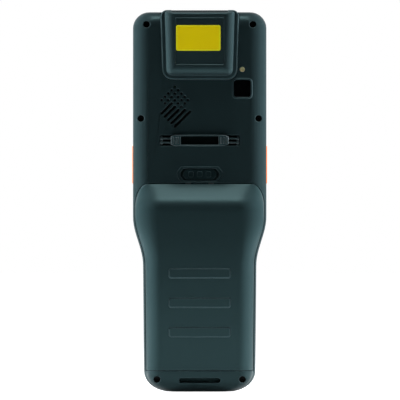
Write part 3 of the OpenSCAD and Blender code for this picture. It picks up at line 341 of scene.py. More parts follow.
def link_finish(tree, shader, made, depth=None, strength=0.4):
    """Gives the shader a placed group's colour and roughness, and its height as bumps of that depth."""
    tree.links.new(made.outputs["Color"], shader.inputs["Base Color"])
    tree.links.new(made.outputs["Roughness"], shader.inputs["Roughness"])
    if depth:
        bump = tree.nodes.new("ShaderNodeBump")
        bump.inputs["Distance"].default_value = depth
        bump.inputs["Strength"].default_value = strength
        tree.links.new(made.outputs["Height"], bump.inputs["Height"])
        tree.links.new(bump.outputs["Normal"], shader.inputs["Normal"])


def lighter(color, gain, lift):
    """A lighter tone of a colour."""
    return [min(1, value * gain + lift) for value in color]


def moulded_material(name, color, worn=None, grain=0.35 * MM, depth=0.02 * MM, mottle=0.06, wear=0.5,
                     roughness=0.5, grain_roughness=0.1, shade=None, **sockets):
    """Moulded plastic, rubber or paint: grain, slow mottling and rubbed edges.

    A shade is a function that changes the base colour from place to place."""
    tree, shader, position = new_material(name, **sockets)
    edge = tree.nodes.new("ShaderNodeAttribute")
    edge.attribute_name = "edge"
    base = shade(tree, position, color) if shade else color
    grained = place_group(tree, "Moulded grain", position, Base=base, Worn=worn or lighter(color, 1.8, 0.08),
                          Edge=edge.outputs["Fac"], Grain=grain, Mottle=mottle, Wear=wear,
                          Roughness=roughness, Grain_Roughness=grain_roughness)
    link_finish(tree, shader, grained, depth, strength=0.5)


def metal_material(name, color, line=0.2 * MM, roughness=0.35):
    """Bare or plated metal with drawn lines."""
    tree, shader, position = new_material(name, Metallic=1.0)
    lined = place_group(tree, "Drawn lines", position, Base=color, Line=line, Contrast=0.15,
                        Roughness=roughness)
    link_finish(tree, shader, lined, 0.01 * MM)


# ---------------------------------------------------------------- meshes

def on_planes(shape, planes):
    """The many-sided faces that lie on one of the planes, each given by a point and its normal."""
    same_way, near = 0.9999, 0.005 * MM
    return [face for face in shape.faces if len(face.verts) > 4 and any(
        face.normal.dot(normal) > same_way and abs(normal.dot(face.verts[0].co - point)) < near
        for point, normal in planes)]


def rounded_copy(node, edge, sharp, segments, convex, cut):
    """A copy of a CAD node's mesh with its doubles merged, its hard edges rounded and its curves smooth.

    Flat faces are joined first. On the planes in convex they are split at their corners, on those in cut into
    triangles."""
    mesh = frame["nodes"][node].data.copy()
    mesh.materials.clear()
    shape = bmesh.new()
    shape.from_mesh(mesh)
    bmesh.ops.remove_doubles(shape, verts=shape.verts, dist=0.002 * MM)
    if edge:
        flat = math.radians(0.4)
        bmesh.ops.dissolve_limit(shape, angle_limit=flat, verts=shape.verts, edges=shape.edges)
        bmesh.ops.triangulate(shape, faces=on_planes(shape, cut), ngon_method="BEAUTY")
        bmesh.ops.connect_verts_concave(shape, faces=on_planes(shape, convex))
    for face in shape.faces:
        face.smooth = True
        face.material_index = 0
    for line in shape.edges:
        line.smooth = len(line.link_faces) == 2 and line.calc_face_angle(0) < math.radians(sharp)
    mesh.clear_geometry()
    shape.to_mesh(mesh)
    shape.free()
    piece = bpy.data.objects.new("finishing", mesh)
    bpy.context.scene.collection.objects.link(piece)
    for label in ("plain", "rubbed"):
        mesh.materials.append(bpy.data.materials.get(label) or bpy.data.materials.new(label))
    if edge:
        rounding = piece.modifiers.new("rounding", "BEVEL")
        rounding.width = edge
        rounding.segments = segments
        rounding.limit_method = "ANGLE"
        rounding.angle_limit = math.radians(sharp)
        rounding.use_clamp_overlap = False
        rounding.material = 1
    weighted = piece.modifiers.new("weighted", "WEIGHTED_NORMAL")
    weighted.keep_sharp = True
    return plain_mesh(piece)


def spoiled_faces(mesh):
    """The area by which triangles miss the faces that they spoil, and those faces' planes.

    A face is spoiled where its triangles miss its area by more than share of it, and by more than least."""
    share, least = 0.1, 0.05 * MM * MM
    mesh.calc_loop_triangles()
    cut = [0.0] * len(mesh.polygons)
    for triangle in mesh.loop_triangles:
        cut[triangle.polygon_index] += triangle.area
    off = [(abs(cut[face.index] - face.area), face) for face in mesh.polygons]
    spoiled = [(area, face) for area, face in off if area > max(share * face.area, least)]
    return (sum(area for area, face in spoiled),
            [(face.center.copy(), face.normal.copy()) for area, face in spoiled])


def smoothed_mesh(node, edge=0.0, sharp=34.0, segments=2):
    """The rounded copy that spoils the least of its flat faces, in three tries at splitting them."""
    tries, convex, cut = [], [], []
    for attempt in range(3):
        mesh = rounded_copy(node, edge, sharp, segments, convex, cut)
        area, planes = spoiled_faces(mesh)
        tries.append((area, attempt, mesh))
        if not planes:
            break
        convex, cut = (planes, []) if attempt == 0 else (convex, planes)
    best = min(tries)[2]
    for area, attempt, mesh in tries:
        if mesh != best:
            bpy.data.meshes.remove(mesh)
    return best


def plain_mesh(piece):
    """The piece as it is evaluated, as a mesh of its own. The piece itself goes."""
    depsgraph = bpy.context.evaluated_depsgraph_get()
    depsgraph.update()
    mesh = bpy.data.meshes.new_from_object(piece.evaluated_get(depsgraph), preserve_all_data_layers=True,
                                           depsgraph=depsgraph)
    old = piece.data
    bpy.data.objects.remove(piece)
    if old.users == 0 and isinstance(old, bpy.types.Mesh):
        bpy.data.meshes.remove(old)
    return mesh


def mark_edges(mesh):
    """Puts 1 in the face attribute 'edge' on the rounded edges, sets every face to the first slot and empties
    the slots.
    """
    rubbed = [float(face.material_index == 1) for face in mesh.polygons]
    attribute = mesh.attributes.new("edge", "FLOAT", "FACE")
    attribute.data.foreach_set("value", rubbed)
    mesh.polygons.foreach_set("material_index", [0] * len(mesh.polygons))
    mesh.materials.clear()


def add_piece(name, mesh, material, body, replaces=()):
    """Links a finished mesh as a piece that rides on a body."""
    mesh.name = name
    mesh.materials.clear()
    mesh.materials.append(MATERIALS[material])
    piece = bpy.data.objects.new(name, mesh)
    bpy.context.scene.collection.objects.link(piece)
    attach(piece, body)
    if replaces:
        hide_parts(*replaces)
    return piece


def finish_node(node, material, edge=0.0, sharp=34.0, segments=2):
    """Stands a smoothed copy of a CAD node in its place, in its own finish."""
    mesh = smoothed_mesh(node, edge, sharp, segments)
    mark_edges(mesh)
    return add_piece(node + "_finished", mesh, material, BODY_OF[node], [node])


def flat_sign(name, key, loops, rise):
    """A thin print on a key's top: closed loops in millimetres, right and up as the reader sees them."""
    low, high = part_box(key)
    centre = (low + high) / 2
    sunk = high.y - 0.02 * MM
    shape = bmesh.new()
    for loop in loops:
        points = [Vector((centre.x - u * MM, sunk, centre.z + v * MM)) for u, v in loop]
        face = shape.faces.new([shape.verts.new(point) for point in points])
        made = bmesh.ops.extrude_face_region(shape, geom=[face])
        for part in made["geom"]:
            if isinstance(part, bmesh.types.BMVert):
                part.co.y = high.y + rise
    bmesh.ops.recalc_face_normals(shape, faces=shape.faces)
    mesh = bpy.data.meshes.new(name)
    shape.to_mesh(mesh)
    shape.free()
    return add_piece(name, mesh, "key_print", BODY_OF[key])


def number_sign(name, key, text, height, rise):
    """A number on a key's top, from the built-in font."""
    size_per_height, sunk = 1.35, 0.01 * MM
    low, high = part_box(key)
    curve = bpy.data.curves.new(name, "FONT")
    curve.body = text
    curve.align_x = "CENTER"
    curve.align_y = "CENTER"
    curve.size = height * size_per_height
    curve.extrude = sunk + rise / 2
    curve.resolution_u = 4
    lettering = bpy.data.objects.new(name, curve)
    bpy.context.scene.collection.objects.link(lettering)
    mesh = plain_mesh(lettering)
    place = Matrix(((-1, 0, 0, (low.x + high.x) / 2), (0, 0, 1, high.y - sunk + rise / 2),
                    (0, 1, 0, (low.z + high.z) / 2), (0, 0, 0, 1)))
    mesh.transform(place)
    return add_piece(name, mesh, "key_print", BODY_OF[key])


def bar(u0, v0, u1, v1):
    """A rectangle by its low and high corner, in millimetres from the middle of the key."""
    return [(u0, v0), (u1, v0), (u1, v1), (u0, v1)]


def turned(loop, angle):
    """The loop turned to the left by an angle in degrees."""
    c, s = math.cos(math.radians(angle)), math.sin(math.radians(angle))
    return [(u * c - v * s, u * s + v * c) for u, v in loop]


def ring_part(radius, width, start, end, steps=18):
    """A part of a ring, from a start to an end angle in degrees."""
    outer = [(radius * math.cos(math.radians(a)), radius * math.sin(math.radians(a)))
             for a in (start + (end - start) * i / steps for i in range(steps + 1))]
    inner = [(u * (radius - width) / radius, v * (radius - width) / radius) for u, v in reversed(outer)]
    return outer + inner


def dot(radius, aside=0.0):
    """A round dot, to the right of the key's middle by aside."""
    return [(u + aside, v) for u, v in ring_part(radius, radius - 0.001, 0, 359)]


SIGNS = {
    "key_point": [dot(0.5)],
    "key_fn": [dot(0.45), dot(0.45, -1.9), dot(0.45, 1.9)],
    "key_enter": [bar(-1.2, -0.75, 2, -0.25), bar(1.5, -0.25, 2, 1.5), [(-2.2, -0.5), (-1, -1.4), (-1, 0.4)]],
    "key_shift": [[(-1.7, 0.1), (1.7, 0.1), (0, 2)], bar(-0.7, -1.7, 0.7, -0.1)],
    "key_tab": [bar(-2.2, -0.25, 0.6, 0.25), [(0.6, -1), (1.8, 0), (0.6, 1)], bar(1.9, -1.1, 2.3, 1.1)],
    "key_delete": [turned(bar(-1.8, -0.25, 1.8, 0.25), 45), turned(bar(-1.8, -0.25, -0.3, 0.25), -45),
                   turned(bar(0.3, -0.25, 1.8, 0.25), -45)],
    "home_key": [[(-1.7, -0.1), (1.7, -0.1), (0, 1.7)], bar(-1.1, -1.5, 1.1, -0.2)],
    "power_key": [ring_part(1.5, 0.4, 125, 415), bar(-0.2, 0.1, 0.2, 1.9)],
    "left_soft_key": [bar(-1.6, -0.25, 1.6, 0.25)],
    "right_soft_key": [bar(-1.6, -0.25, 1.6, 0.25)],
}
ARROW = [(-0.8, -1.3), (1.2, 0), (-0.8, 1.3)]
SIGNS.update({key: [turned(ARROW, angle)] for key, angle in ARROW_KEYS.items()})
# The middle and the width of each bar on the scan key.
SCAN_BARS = ((-2.6, 0.5), (-1.6, 0.9), (-0.6, 0.4), (0.4, 0.6), (1.5, 1.0), (2.6, 0.5))
SIGNS["scan_key"] = [bar(middle - wide / 2, -2.2, middle + wide / 2, 2.2) for middle, wide in SCAN_BARS]


def settings():
    """The settings of the shells, the fittings, the keys and the studio."""
    scene = bpy.context.scene
    return scene.terminal_shells, scene.terminal_fittings, scene.terminal_keys, scene.terminal_studio


# ---------------------------------------------------------------- operators: shells

def pocket_shade(tree, position, color):
    """The housing's colour with painted shade, dark deep in the strap eye's well and around the latch knob.
    """
    eye_rise, start, end = 3.4 * MM, 0.65 * MM, 0.9 * MM
    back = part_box("strap_eye")[0].y + eye_rise
    parts = tree.nodes.new("ShaderNodeSeparateXYZ")
    tree.links.new(position, parts.inputs["Vector"])
    # Painted shade fades in from 0.65 to 0.9 mm deeper than the housing's back.
    deep = faded(tree, parts.outputs["Y"], back + start, back + end, 0.0, 1.0)
    for node, beside, above in (("strap_eye", 0.7 * MM, 0.3 * MM), ("latch_knob", 1.9 * MM, 0.6 * MM)):
        around = panel_over(tree, position, node, beside, above, 0.1 * MM)
        # Near black: painted shade in the recesses.
        color = mixed_color(tree, arithmetic(tree, "MULTIPLY", around, deep), color, srgb(7, 9, 10))
    return color


def shell_plastic(name, color, wear, **details):
    """The moulded plastic of a shell, with the grain and sheen that all the shells have."""
    shells = settings()[0]
    moulded_material(name, color, shells.worn_color, grain=shells.grain, roughness=shells.roughness,
                     wear=wear, Specular_IOR_Level=shells.sheen, Specular_Tint=(*shells.sheen_color, 1),
                     **details)


class TERMINAL_OT_housings(bpy.types.Operator):
    """Finish the front and rear housing."""
    bl_idname = "terminal.housings"
    bl_label = "Housings"

    def execute(self, context):
        shells = settings()[0]
        # The housing's colour carries painted shade in the strap eye's well and the latch recess.
        shell_plastic("housing_plastic", shells.housing_color, wear=0.55, shade=pocket_shade)
        finish_node("rear_housing", "housing_plastic", shells.edge, sharp=38)
        finish_node("front_housing", "housing_plastic", shells.edge, sharp=38)
        moulded_material("seal_rubber", srgb(17, 18, 19), roughness=0.7, grain=0.2 * MM, wear=0.2)
        finish_node("housing_seal", "seal_rubber")
        finish_node("cover_gasket", "seal_rubber")
        return {"FINISHED"}


class TERMINAL_OT_battery_cover(bpy.types.Operator):
    """Finish the battery cover with its grip bars."""
    bl_idname = "terminal.battery_cover"
    bl_label = "Battery cover"

    def execute(self, context):
        shells = settings()[0]
        shell_plastic("cover_plastic", shells.cover_color, wear=0.95)
        finish_node("battery_cover", "cover_plastic", shells.edge, sharp=30)
        return {"FINISHED"}


class TERMINAL_OT_scanner_hood(bpy.types.Operator):
    """Finish the scanner hood, its window and its label plate."""
    bl_idname = "terminal.scanner_hood"
    bl_label = "Scanner hood"

    def execute(self, context):
        shells, fittings = settings()[:2]
        shell_plastic("hood_plastic", shells.hood_color, wear=0.5)
        finish_node("scanner_hood", "hood_plastic", shells.edge, sharp=24)
        moulded_material("filter_glass", srgb(70, 10, 12), roughness=0.08, grain=0.6 * MM, depth=0.002 * MM,
                         mottle=0.03, grain_roughness=0.02, wear=0.1, Coat_Weight=0.4)
        finish_node("scan_window", "filter_glass", 0.15 * MM)
        yellow = fittings.label_color
        # The film glows a little in its own yellow: painted light, as the label is no lamp.
        tree, shader, position = new_material("glowing_label_film", Specular_IOR_Level=0.25,
                                              Emission_Strength=0.15, Emission_Color=(*yellow, 1))
        border = -0.5 * MM
        inner = panel_over(tree, position, "label_plate", border, border, 0.35 * MM)
        pale = lighter(yellow, 1.25, 0.02)
        film = mixed_color(tree, inner, pale, yellow)
        grained = place_group(tree, "Moulded grain", position, Base=film, Worn=pale, Grain=0.5 * MM,
                              Mottle=0.05, Wear=0.0, Roughness=0.38, Grain_Roughness=0.08)
        link_finish(tree, shader, grained, 0.01 * MM)
        finish_node("label_plate", "glowing_label_film", 0.06 * MM)
        return {"FINISHED"}


# ---------------------------------------------------------------- operators: fittings

class TERMINAL_OT_camera_and_flash(bpy.types.Operator):
    """Finish the camera window with the lens behind it, and the flash lens."""
    bl_idname = "terminal.camera_and_flash"
    bl_label = "Camera and flash"

    def execute(self, context):
        fittings = settings()[1]
        moulded_material("black_glass", srgb(6, 7, 9), worn=srgb(40, 44, 48), roughness=0.07, grain=0.8 * MM,
                         depth=0.001 * MM, mottle=0.04, grain_roughness=0.02, wear=0.4, Coat_Weight=0.3)
        finish_node("camera_window", "black_glass", 0.15 * MM)
        moulded_material("black_plastic", srgb(22, 23, 25), roughness=0.55, wear=0.3)
        finish_node("camera_module", "black_plastic", 0.1 * MM)
        moulded_material("flash_plastic", fittings.flash_color, roughness=0.22, grain=0.25 * MM, mottle=0.1,
                         wear=0.1, Coat_Weight=0.5, Subsurface_Weight=0.3, Subsurface_Scale=0.001)
        finish_node("flash_lens", "flash_plastic", 0.2 * MM)
        return {"FINISHED"}


class TERMINAL_OT_strap_eye(bpy.types.Operator):
    """Finish the strap eye."""
    bl_idname = "terminal.strap_eye"
    bl_label = "Strap eye"

    def execute(self, context):
        shells, fittings = settings()[:2]
        moulded_material("eye_paint", fittings.eye_color, worn=srgb(150, 160, 165), roughness=0.4,
                         grain=0.25 * MM, wear=0.8, mottle=0.08, Specular_Tint=(*shells.sheen_color, 1))
        finish_node("strap_eye", "eye_paint", 0.15 * MM)
        return {"FINISHED"}


class TERMINAL_OT_latch(bpy.types.Operator):
    """Finish the latch knob and its bolt plate."""
    bl_idname = "terminal.latch"
    bl_label = "Latch"

    def execute(self, context):
        shells, fittings = settings()[:2]
        moulded_material("knob_plastic", fittings.knob_color, shells.worn_color, roughness=0.45, wear=0.7,
                         Specular_IOR_Level=0.35, Specular_Tint=(*shells.sheen_color, 1))
        finish_node("latch_knob", "knob_plastic", 0.12 * MM)
        metal_material("bare_steel", srgb(150, 153, 157))
        finish_node("latch_bolt", "bare_steel", 0.1 * MM)
        return {"FINISHED"}


class TERMINAL_OT_screws(bpy.types.Operator):
    """Finish the housing screws in their wells."""
    bl_idname = "terminal.screws"
    bl_label = "Housing screws"

    def execute(self, context):
        fittings = settings()[1]
        moulded_material("screw_oxide", fittings.screw_color, worn=srgb(90, 92, 95), roughness=0.42,
                         grain=0.15 * MM, wear=0.35, Metallic=0.6)
        finish_node("housing_screws", "screw_oxide", 0.1 * MM)
        return {"FINISHED"}


def woven_tree():
    """Geometry nodes: crossed wires over a rectangle that stands in X and Z."""
    tree = bpy.data.node_groups.new("Crossed wires", "GeometryNodeTree")
    sockets = {}
    for label, kind in (("Width", "Float"), ("Height", "Float"), ("Pitch", "Float"), ("Wire", "Float")):
        sockets[label] = tree.interface.new_socket(label, in_out="INPUT", socket_type="NodeSocket" + kind)
    sockets["Finish"] = tree.interface.new_socket("Finish", in_out="INPUT", socket_type="NodeSocketMaterial")
    tree.interface.new_socket("Geometry", in_out="OUTPUT", socket_type="NodeSocketGeometry")
    given, made = tree.nodes.new("NodeGroupInput"), tree.nodes.new("NodeGroupOutput")

    def vector(x=0.0, y=0.0, z=0.0):
        node = tree.nodes.new("ShaderNodeCombineXYZ")
        for socket, value in zip(node.inputs, (x, y, z)):
            feed(tree, value, socket)
        return node.outputs[0]

    joined = tree.nodes.new("GeometryNodeJoinGeometry")
    for along, across, is_upright in (("Width", "Height", False), ("Height", "Width", True)):
        pitch = given.outputs["Pitch"]
        count = arithmetic(tree, "FLOOR", arithmetic(tree, "DIVIDE", given.outputs[across], pitch))
        half = arithmetic(tree, "MULTIPLY", given.outputs[across], -0.5)
        row = tree.nodes.new("GeometryNodeMeshLine")
        tree.links.new(count, row.inputs["Count"])
        tree.links.new(vector(x=half) if is_upright else vector(z=half), row.inputs["Start Location"])
        tree.links.new(vector(x=pitch) if is_upright else vector(z=pitch), row.inputs["Offset"])
        wire = tree.nodes.new("GeometryNodeMeshCube")
        thin = given.outputs["Wire"]
        long = given.outputs[along]
        size = vector(thin, thin, long) if is_upright else vector(long, thin, thin)
        tree.links.new(size, wire.inputs["Size"])
        rows = tree.nodes.new("GeometryNodeInstanceOnPoints")
        tree.links.new(row.outputs["Mesh"], rows.inputs["Points"])
        tree.links.new(wire.outputs["Mesh"], rows.inputs["Instance"])
        tree.links.new(rows.outputs["Instances"], joined.inputs["Geometry"])
    real = tree.nodes.new("GeometryNodeRealizeInstances")
    finish = tree.nodes.new("GeometryNodeSetMaterial")
    tree.links.new(joined.outputs["Geometry"], real.inputs["Geometry"])
    tree.links.new(real.outputs["Geometry"], finish.inputs["Geometry"])
    tree.links.new(given.outputs["Finish"], finish.inputs["Material"])
    tree.links.new(finish.outputs["Geometry"], made.inputs["Geometry"])
    return tree, {label: socket.identifier for label, socket in sockets.items()}


class TERMINAL_OT_speaker(bpy.types.Operator):
    """Weave the mesh behind the grille and finish the speaker."""
    bl_idname = "terminal.speaker"
    bl_label = "Speaker and mesh"

    def execute(self, context):
        fittings = settings()[1]
        moulded_material("mesh_wire", srgb(20, 24, 26), roughness=0.5, grain=0.1 * MM, wear=0.2, Metallic=0.5)
        low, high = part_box("speaker_mesh")
        margin = 0.2 * MM
        tree, inputs = woven_tree()
        sheet = bpy.data.objects.new("weaving", bpy.data.meshes.new("weaving"))
        bpy.context.scene.collection.objects.link(sheet)
        weave = sheet.modifiers.new("weave", "NODES")
        weave.node_group = tree
        for label, value in (("Width", high.x - low.x - margin), ("Height", high.z - low.z - margin),
                             ("Pitch", fittings.wire_pitch), ("Wire", fittings.wire_width),
                             ("Finish", MATERIALS["mesh_wire"])):
            weave[inputs[label]] = value
        mesh = plain_mesh(sheet)
        mesh.transform(Matrix.Translation((low + high) / 2))
        add_piece("speaker_mesh_wires", mesh, "mesh_wire", BODY_OF["speaker_mesh"],
                  ["speaker_mesh"])
        finish_node("speaker", "black_plastic", 0.1 * MM)
        finish_node("receiver", "black_plastic", 0.1 * MM)
        return {"FINISHED"}


class TERMINAL_OT_inside(bpy.types.Operator):
    """Finish the scan engine, the boards, the battery and the connector."""
    bl_idname = "terminal.inside"
    bl_label = "Inner pieces"

    def execute(self, context):
        moulded_material("engine_plastic", srgb(28, 29, 31), roughness=0.5, wear=0.3)
        finish_node("scan_engine", "engine_plastic", 0.1 * MM)
        finish_node("engine_bracket", "bare_steel", 0.08 * MM)
        finish_node("shield_cans", "bare_steel", 0.1 * MM)
        moulded_material("board_lacquer", srgb(18, 74, 46), roughness=0.35, grain=0.5 * MM, mottle=0.12,
                         wear=0.1)
        finish_node("main_board", "board_lacquer", 0.05 * MM)
        finish_node("keypad_board", "board_lacquer", 0.05 * MM)
        moulded_material("switch_plastic", srgb(30, 31, 33), roughness=0.5, wear=0.3)
        finish_node("side_switches", "switch_plastic", 0.1 * MM)
        moulded_material("battery_wrap", srgb(34, 36, 40), worn=srgb(80, 84, 90), roughness=0.4,
                         grain=0.5 * MM, mottle=0.05, wear=0.4)
        finish_node("battery_pack", "battery_wrap", 0.25 * MM)
        metal_material("contact_plate", srgb(196, 160, 84), line=0.1 * MM, roughness=0.3)
        finish_node("battery_contacts", "contact_plate", 0.08 * MM)
        metal_material("connector_steel", srgb(168, 171, 176), line=0.12 * MM, roughness=0.28)
        finish_node("dock_connector", "connector_steel", 0.12 * MM)
        return {"FINISHED"}


# ---------------------------------------------------------------- operators: keypad side

class TERMINAL_OT_display(bpy.types.Operator):
    """Finish the touch glass with the dark screen behind it."""
    bl_idname = "terminal.display"
    bl_label = "Display"

    def execute(self, context):
        tree, shader, position = new_material("screen_glass", Coat_Weight=0.4, Coat_Roughness=0.03)
        screen = panel_over(tree, position, "display_module", -2 * MM, -4 * MM, 0.25 * MM)
        face = mixed_color(tree, screen, srgb(9, 11, 13), srgb(24, 29, 36))
        smeared = place_group(tree, "Moulded grain", position, Base=face, Worn=srgb(40, 46, 52), Grain=4 * MM,
                              Mottle=0.06, Wear=0.3, Roughness=0.07, Grain_Roughness=0.05)
        link_finish(tree, shader, smeared)
        finish_node("touch_glass", "screen_glass", 0.35 * MM, segments=3)
        moulded_material("screen_back", srgb(14, 16, 20), roughness=0.3, wear=0.1)
        finish_node("display_module", "screen_back", 0.1 * MM)
        moulded_material("light_guide", srgb(150, 196, 150), roughness=0.25, grain=0.3 * MM, wear=0.1,
                         Coat_Weight=0.4)
        finish_node("status_light", "light_guide", 0.1 * MM)
        return {"FINISHED"}


class TERMINAL_OT_keypad(bpy.types.Operator):
    """Finish the bezel, the mat and every moulded key."""
    bl_idname = "terminal.keypad"
    bl_label = "Keypad"

    def execute(self, context):
        keys = settings()[2]
        moulded_material("bezel_plastic", keys.bezel_color, roughness=0.4, wear=0.5)
        finish_node("keypad_bezel", "bezel_plastic", 0.15 * MM)
        moulded_material("mat_rubber", srgb(160, 160, 156), roughness=0.75, grain=0.4 * MM, wear=0.1)
        finish_node("keypad_mat", "mat_rubber")
        moulded_material("key_plastic", keys.key_color, roughness=0.36, grain=0.3 * MM, wear=0.45,
                         Coat_Weight=0.15, Coat_Roughness=0.2)
        moulded_material("scan_key_plastic", keys.scan_color, roughness=0.34, grain=0.3 * MM, wear=0.25,
                         mottle=0.04, Coat_Weight=0.2, Coat_Roughness=0.2)
        for key in (*NUMBER_KEYS, *ARROW_KEYS, *SIGN_KEYS):
            finish_node(key, "key_plastic", 0.12 * MM, 28)
        finish_node("scan_key", "scan_key_plastic", 0.25 * MM)
        moulded_material("side_key_rubber", keys.scan_color, roughness=0.55, grain=0.3 * MM, wear=0.2)
        finish_node("side_key_left", "side_key_rubber", 0.15 * MM, 28)
        finish_node("side_key_right", "side_key_rubber", 0.15 * MM, 28)
        return {"FINISHED"}


class TERMINAL_OT_key_signs(bpy.types.Operator):
    """Print the numbers and plain signs on the keys."""
    bl_idname = "terminal.key_signs"
    bl_label = "Key signs"

    def execute(self, context):
        keys = settings()[2]
        moulded_material("key_print", keys.print_color, roughness=0.5, grain=0.2 * MM, mottle=0.03, wear=0.0)
        for key, text in NUMBER_KEYS.items():
            number_sign(key + "_sign", key, text, keys.sign_height, keys.sign_rise)
        for key, loops in SIGNS.items():
            flat_sign(key + "_sign", key, loops, keys.sign_rise)
        return {"FINISHED"}


# ---------------------------------------------------------------- operator: studio

def light_paths(tree):
    """Two sockets: 1 to the camera and to rays through glass, and 1 to glossy rays."""
    path = tree.nodes.new("ShaderNodeLightPath")
    seen = arithmetic(tree, "MAXIMUM", path.outputs["Is Camera Ray"], path.outputs["Is Transmission Ray"])
    return seen, path.outputs["Is Glossy Ray"]


def studio_world(studio):
    """White to the camera and through glass.

    To other rays it has one level on the keypad's side and another elsewhere."""
    world = bpy.data.worlds.new("studio")
    bpy.context.scene.world = world
    world.use_nodes = True
    tree = world.node_tree
    tree.nodes.clear()
    coordinates = tree.nodes.new("ShaderNodeTexCoord")
    parts = tree.nodes.new("ShaderNodeSeparateXYZ")
    tree.links.new(coordinates.outputs["Generated"], parts.inputs["Vector"])

    def keypad_side(elsewhere, there):
        start, end = 0.3, 0.9
        return faded(tree, parts.outputs["Y"], start, end, elsewhere, there)

    seen, glossy = light_paths(tree)
    reflected = arithmetic(tree, "MULTIPLY", glossy, keypad_side(0.0, studio.reflection))
    surround = arithmetic(tree, "MULTIPLY", arithmetic(tree, "SUBTRACT", 1.0, glossy),
                          keypad_side(studio.fill, studio.keypad_fill))
    light = arithmetic(tree, "ADD", reflected, surround)
    unseen = arithmetic(tree, "SUBTRACT", 1.0, seen)
    strength = arithmetic(tree, "ADD", arithmetic(tree, "MULTIPLY", unseen, light), seen)
    background = tree.nodes.new("ShaderNodeBackground")
    background.inputs["Color"].default_value = (1, 1, 1, 1)
    tree.links.new(strength, background.inputs["Strength"])
    output = tree.nodes.new("ShaderNodeOutputWorld")
    tree.links.new(background.outputs["Background"], output.inputs["Surface"])
    world.cycles.sampling_method = "NONE"


def studio_floor(color, mirror):
    """A wide pale floor that keeps the terminal's shadow, and turns white before the horizon."""
    half = 8.0
    mesh = bpy.data.meshes.new("floor")
    corners = [(-half, -half, 0), (half, -half, 0), (half, half, 0), (-half, half, 0)]
    mesh.from_pydata(corners, [], [(0, 1, 2, 3)])
    floor = bpy.data.objects.new("floor", mesh)
    bpy.context.scene.collection.objects.link(floor)
    tree, shader, position = new_material("floor_paper", Roughness=0.9, Specular_IOR_Level=0.0)
    tone = place_group(tree, "Moulded grain", position, Base=color, Worn=color, Grain=0.01, Mottle=0.01,
                       Wear=0.0, Roughness=0.9)
    away = tree.nodes.new("ShaderNodeVectorMath")
    away.operation = "LENGTH"
    tree.links.new(position, away.inputs[0])

    def outwards(near, far, at_near, at_far):
        return faded(tree, away.outputs["Value"], near, far, at_near, at_far)

    seen, glossy = light_paths(tree)
    # Painted dark reflection: seen in reflections, the floor turns black from 0.15 m outwards.
    darker = arithmetic(tree, "MULTIPLY", glossy, outwards(near=0.15, far=0.6, at_near=0.0, at_far=1.0))
    tree.links.new(mixed_color(tree, darker, tone.outputs["Color"], (0, 0, 0)), shader.inputs["Base Color"])
    shader.inputs["Emission Color"].default_value = (1, 1, 1, 1)
    # Painted reflection: only reflections see the floor glow, in a ring close around the terminal.
    ring = arithmetic(tree, "MULTIPLY", outwards(near=0.05, far=0.45, at_near=mirror, at_far=0.0),
                      outwards(near=0.02, far=0.07, at_near=0.2, at_far=1.0))
    mirrored = arithmetic(tree, "MULTIPLY", glossy, ring)
    shown = arithmetic(tree, "MULTIPLY", seen, outwards(near=0.4, far=1.5, at_near=0.85, at_far=1.0))
    tree.links.new(arithmetic(tree, "ADD", shown, mirrored), shader.inputs["Emission Strength"])
    mesh.materials.append(MATERIALS["floor_paper"])


def area_lamp(name, azimuth, climb, size, power, mirrored=True):
    """A lamp a metre from the terminal's middle: azimuth in degrees from -Y towards +X, climb above level."""
    middle = Vector((0, 0, 0.1))
    turn, lift = math.radians(azimuth), math.radians(climb)
    data = bpy.data.lights.new(name, "AREA")
    data.shape = "RECTANGLE"
    data.size, data.size_y = size
    data.energy = power
    lamp = bpy.data.objects.new(name, data)
    lamp.location = middle + Vector((math.cos(lift) * math.sin(turn), -math.cos(lift) * math.cos(turn),
                                     math.sin(lift)))
    lamp.rotation_euler = (middle - lamp.location).to_track_quat("-Z", "Y").to_euler()
    lamp.visible_glossy = mirrored
    bpy.context.scene.collection.objects.link(lamp)


def studio_camera(studio):
    """A camera that looks level along +Y."""
    data = bpy.data.cameras.new("camera")
    data.sensor_width = 36
    data.lens = data.sensor_width * studio.distance / studio.picture_width
    data.clip_start, data.clip_end = 0.1, 60
    camera = bpy.data.objects.new("camera", data)
    camera.location = (studio.aim_side, -studio.distance, studio.aim_height)
    camera.rotation_euler = (math.radians(90), 0, 0)
    bpy.context.scene.collection.objects.link(camera)
    bpy.context.scene.camera = camera


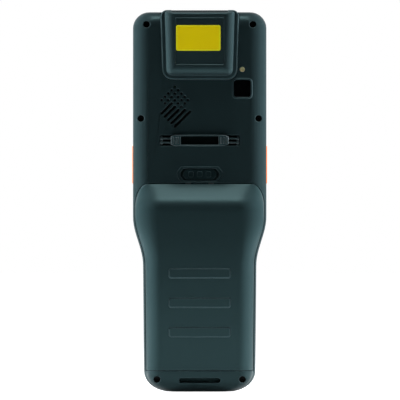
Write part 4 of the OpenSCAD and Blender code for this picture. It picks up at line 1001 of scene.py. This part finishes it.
class TERMINAL_OT_studio(bpy.types.Operator):
    """Set the floor, the lamps, the surroundings and the camera."""
    bl_idname = "terminal.studio"
    bl_label = "Studio"

    def execute(self, context):
        studio = settings()[3]
        studio_world(studio)
        studio_floor(studio.floor_color, studio.floor_mirror)
        for side in (-1, 1):
            place = {"azimuth": 98 * side, "climb": 14, "size": (0.2, 0.8)}
            area_lamp("wash", power=studio.side_wash, mirrored=False, **place)
            area_lamp("side", power=studio.side_light, **place)
        area_lamp("top", azimuth=0, climb=90, size=(0.8, 0.5), power=studio.top_light)
        area_lamp("front", azimuth=0, climb=80, size=(0.3, 0.3), power=studio.front_light)
        studio_camera(studio)
        context.scene.view_settings.view_transform = "Standard"
        return {"FINISHED"}


class TERMINAL_PT_looks(bpy.types.Panel):
    """The terminal's settings and steps."""
    bl_label = "Data terminal"
    bl_idname = "TERMINAL_PT_looks"
    bl_space_type = "VIEW_3D"
    bl_region_type = "UI"
    bl_category = "Terminal"

    def draw(self, context):
        for group_settings in settings():
            box = self.layout.box()
            for name in group_settings.__annotations__:
                box.prop(group_settings, name)
        for step in STEPS:
            self.layout.operator(step.bl_idname)


STEPS = (TERMINAL_OT_housings, TERMINAL_OT_battery_cover, TERMINAL_OT_scanner_hood,
         TERMINAL_OT_camera_and_flash, TERMINAL_OT_strap_eye, TERMINAL_OT_latch, TERMINAL_OT_screws,
         TERMINAL_OT_speaker, TERMINAL_OT_inside, TERMINAL_OT_display, TERMINAL_OT_keypad,
         TERMINAL_OT_key_signs, TERMINAL_OT_studio)
SETTINGS = {"terminal_shells": TerminalShells, "terminal_fittings": TerminalFittings,
            "terminal_keys": TerminalKeys, "terminal_studio": TerminalStudio}


def register():
    for cls in (*SETTINGS.values(), *STEPS, TERMINAL_PT_looks):
        bpy.utils.register_class(cls)
    for name, cls in SETTINGS.items():
        setattr(bpy.types.Scene, name, PointerProperty(type=cls))


def unregister():
    for name in SETTINGS:
        delattr(bpy.types.Scene, name)
    for cls in reversed((*SETTINGS.values(), *STEPS, TERMINAL_PT_looks)):
        bpy.utils.unregister_class(cls)


def main():
    register()
    for step in STEPS:
        family, name = step.bl_idname.split(".")
        getattr(getattr(bpy.ops, family), name)()


if __name__ == "__main__":
    main()
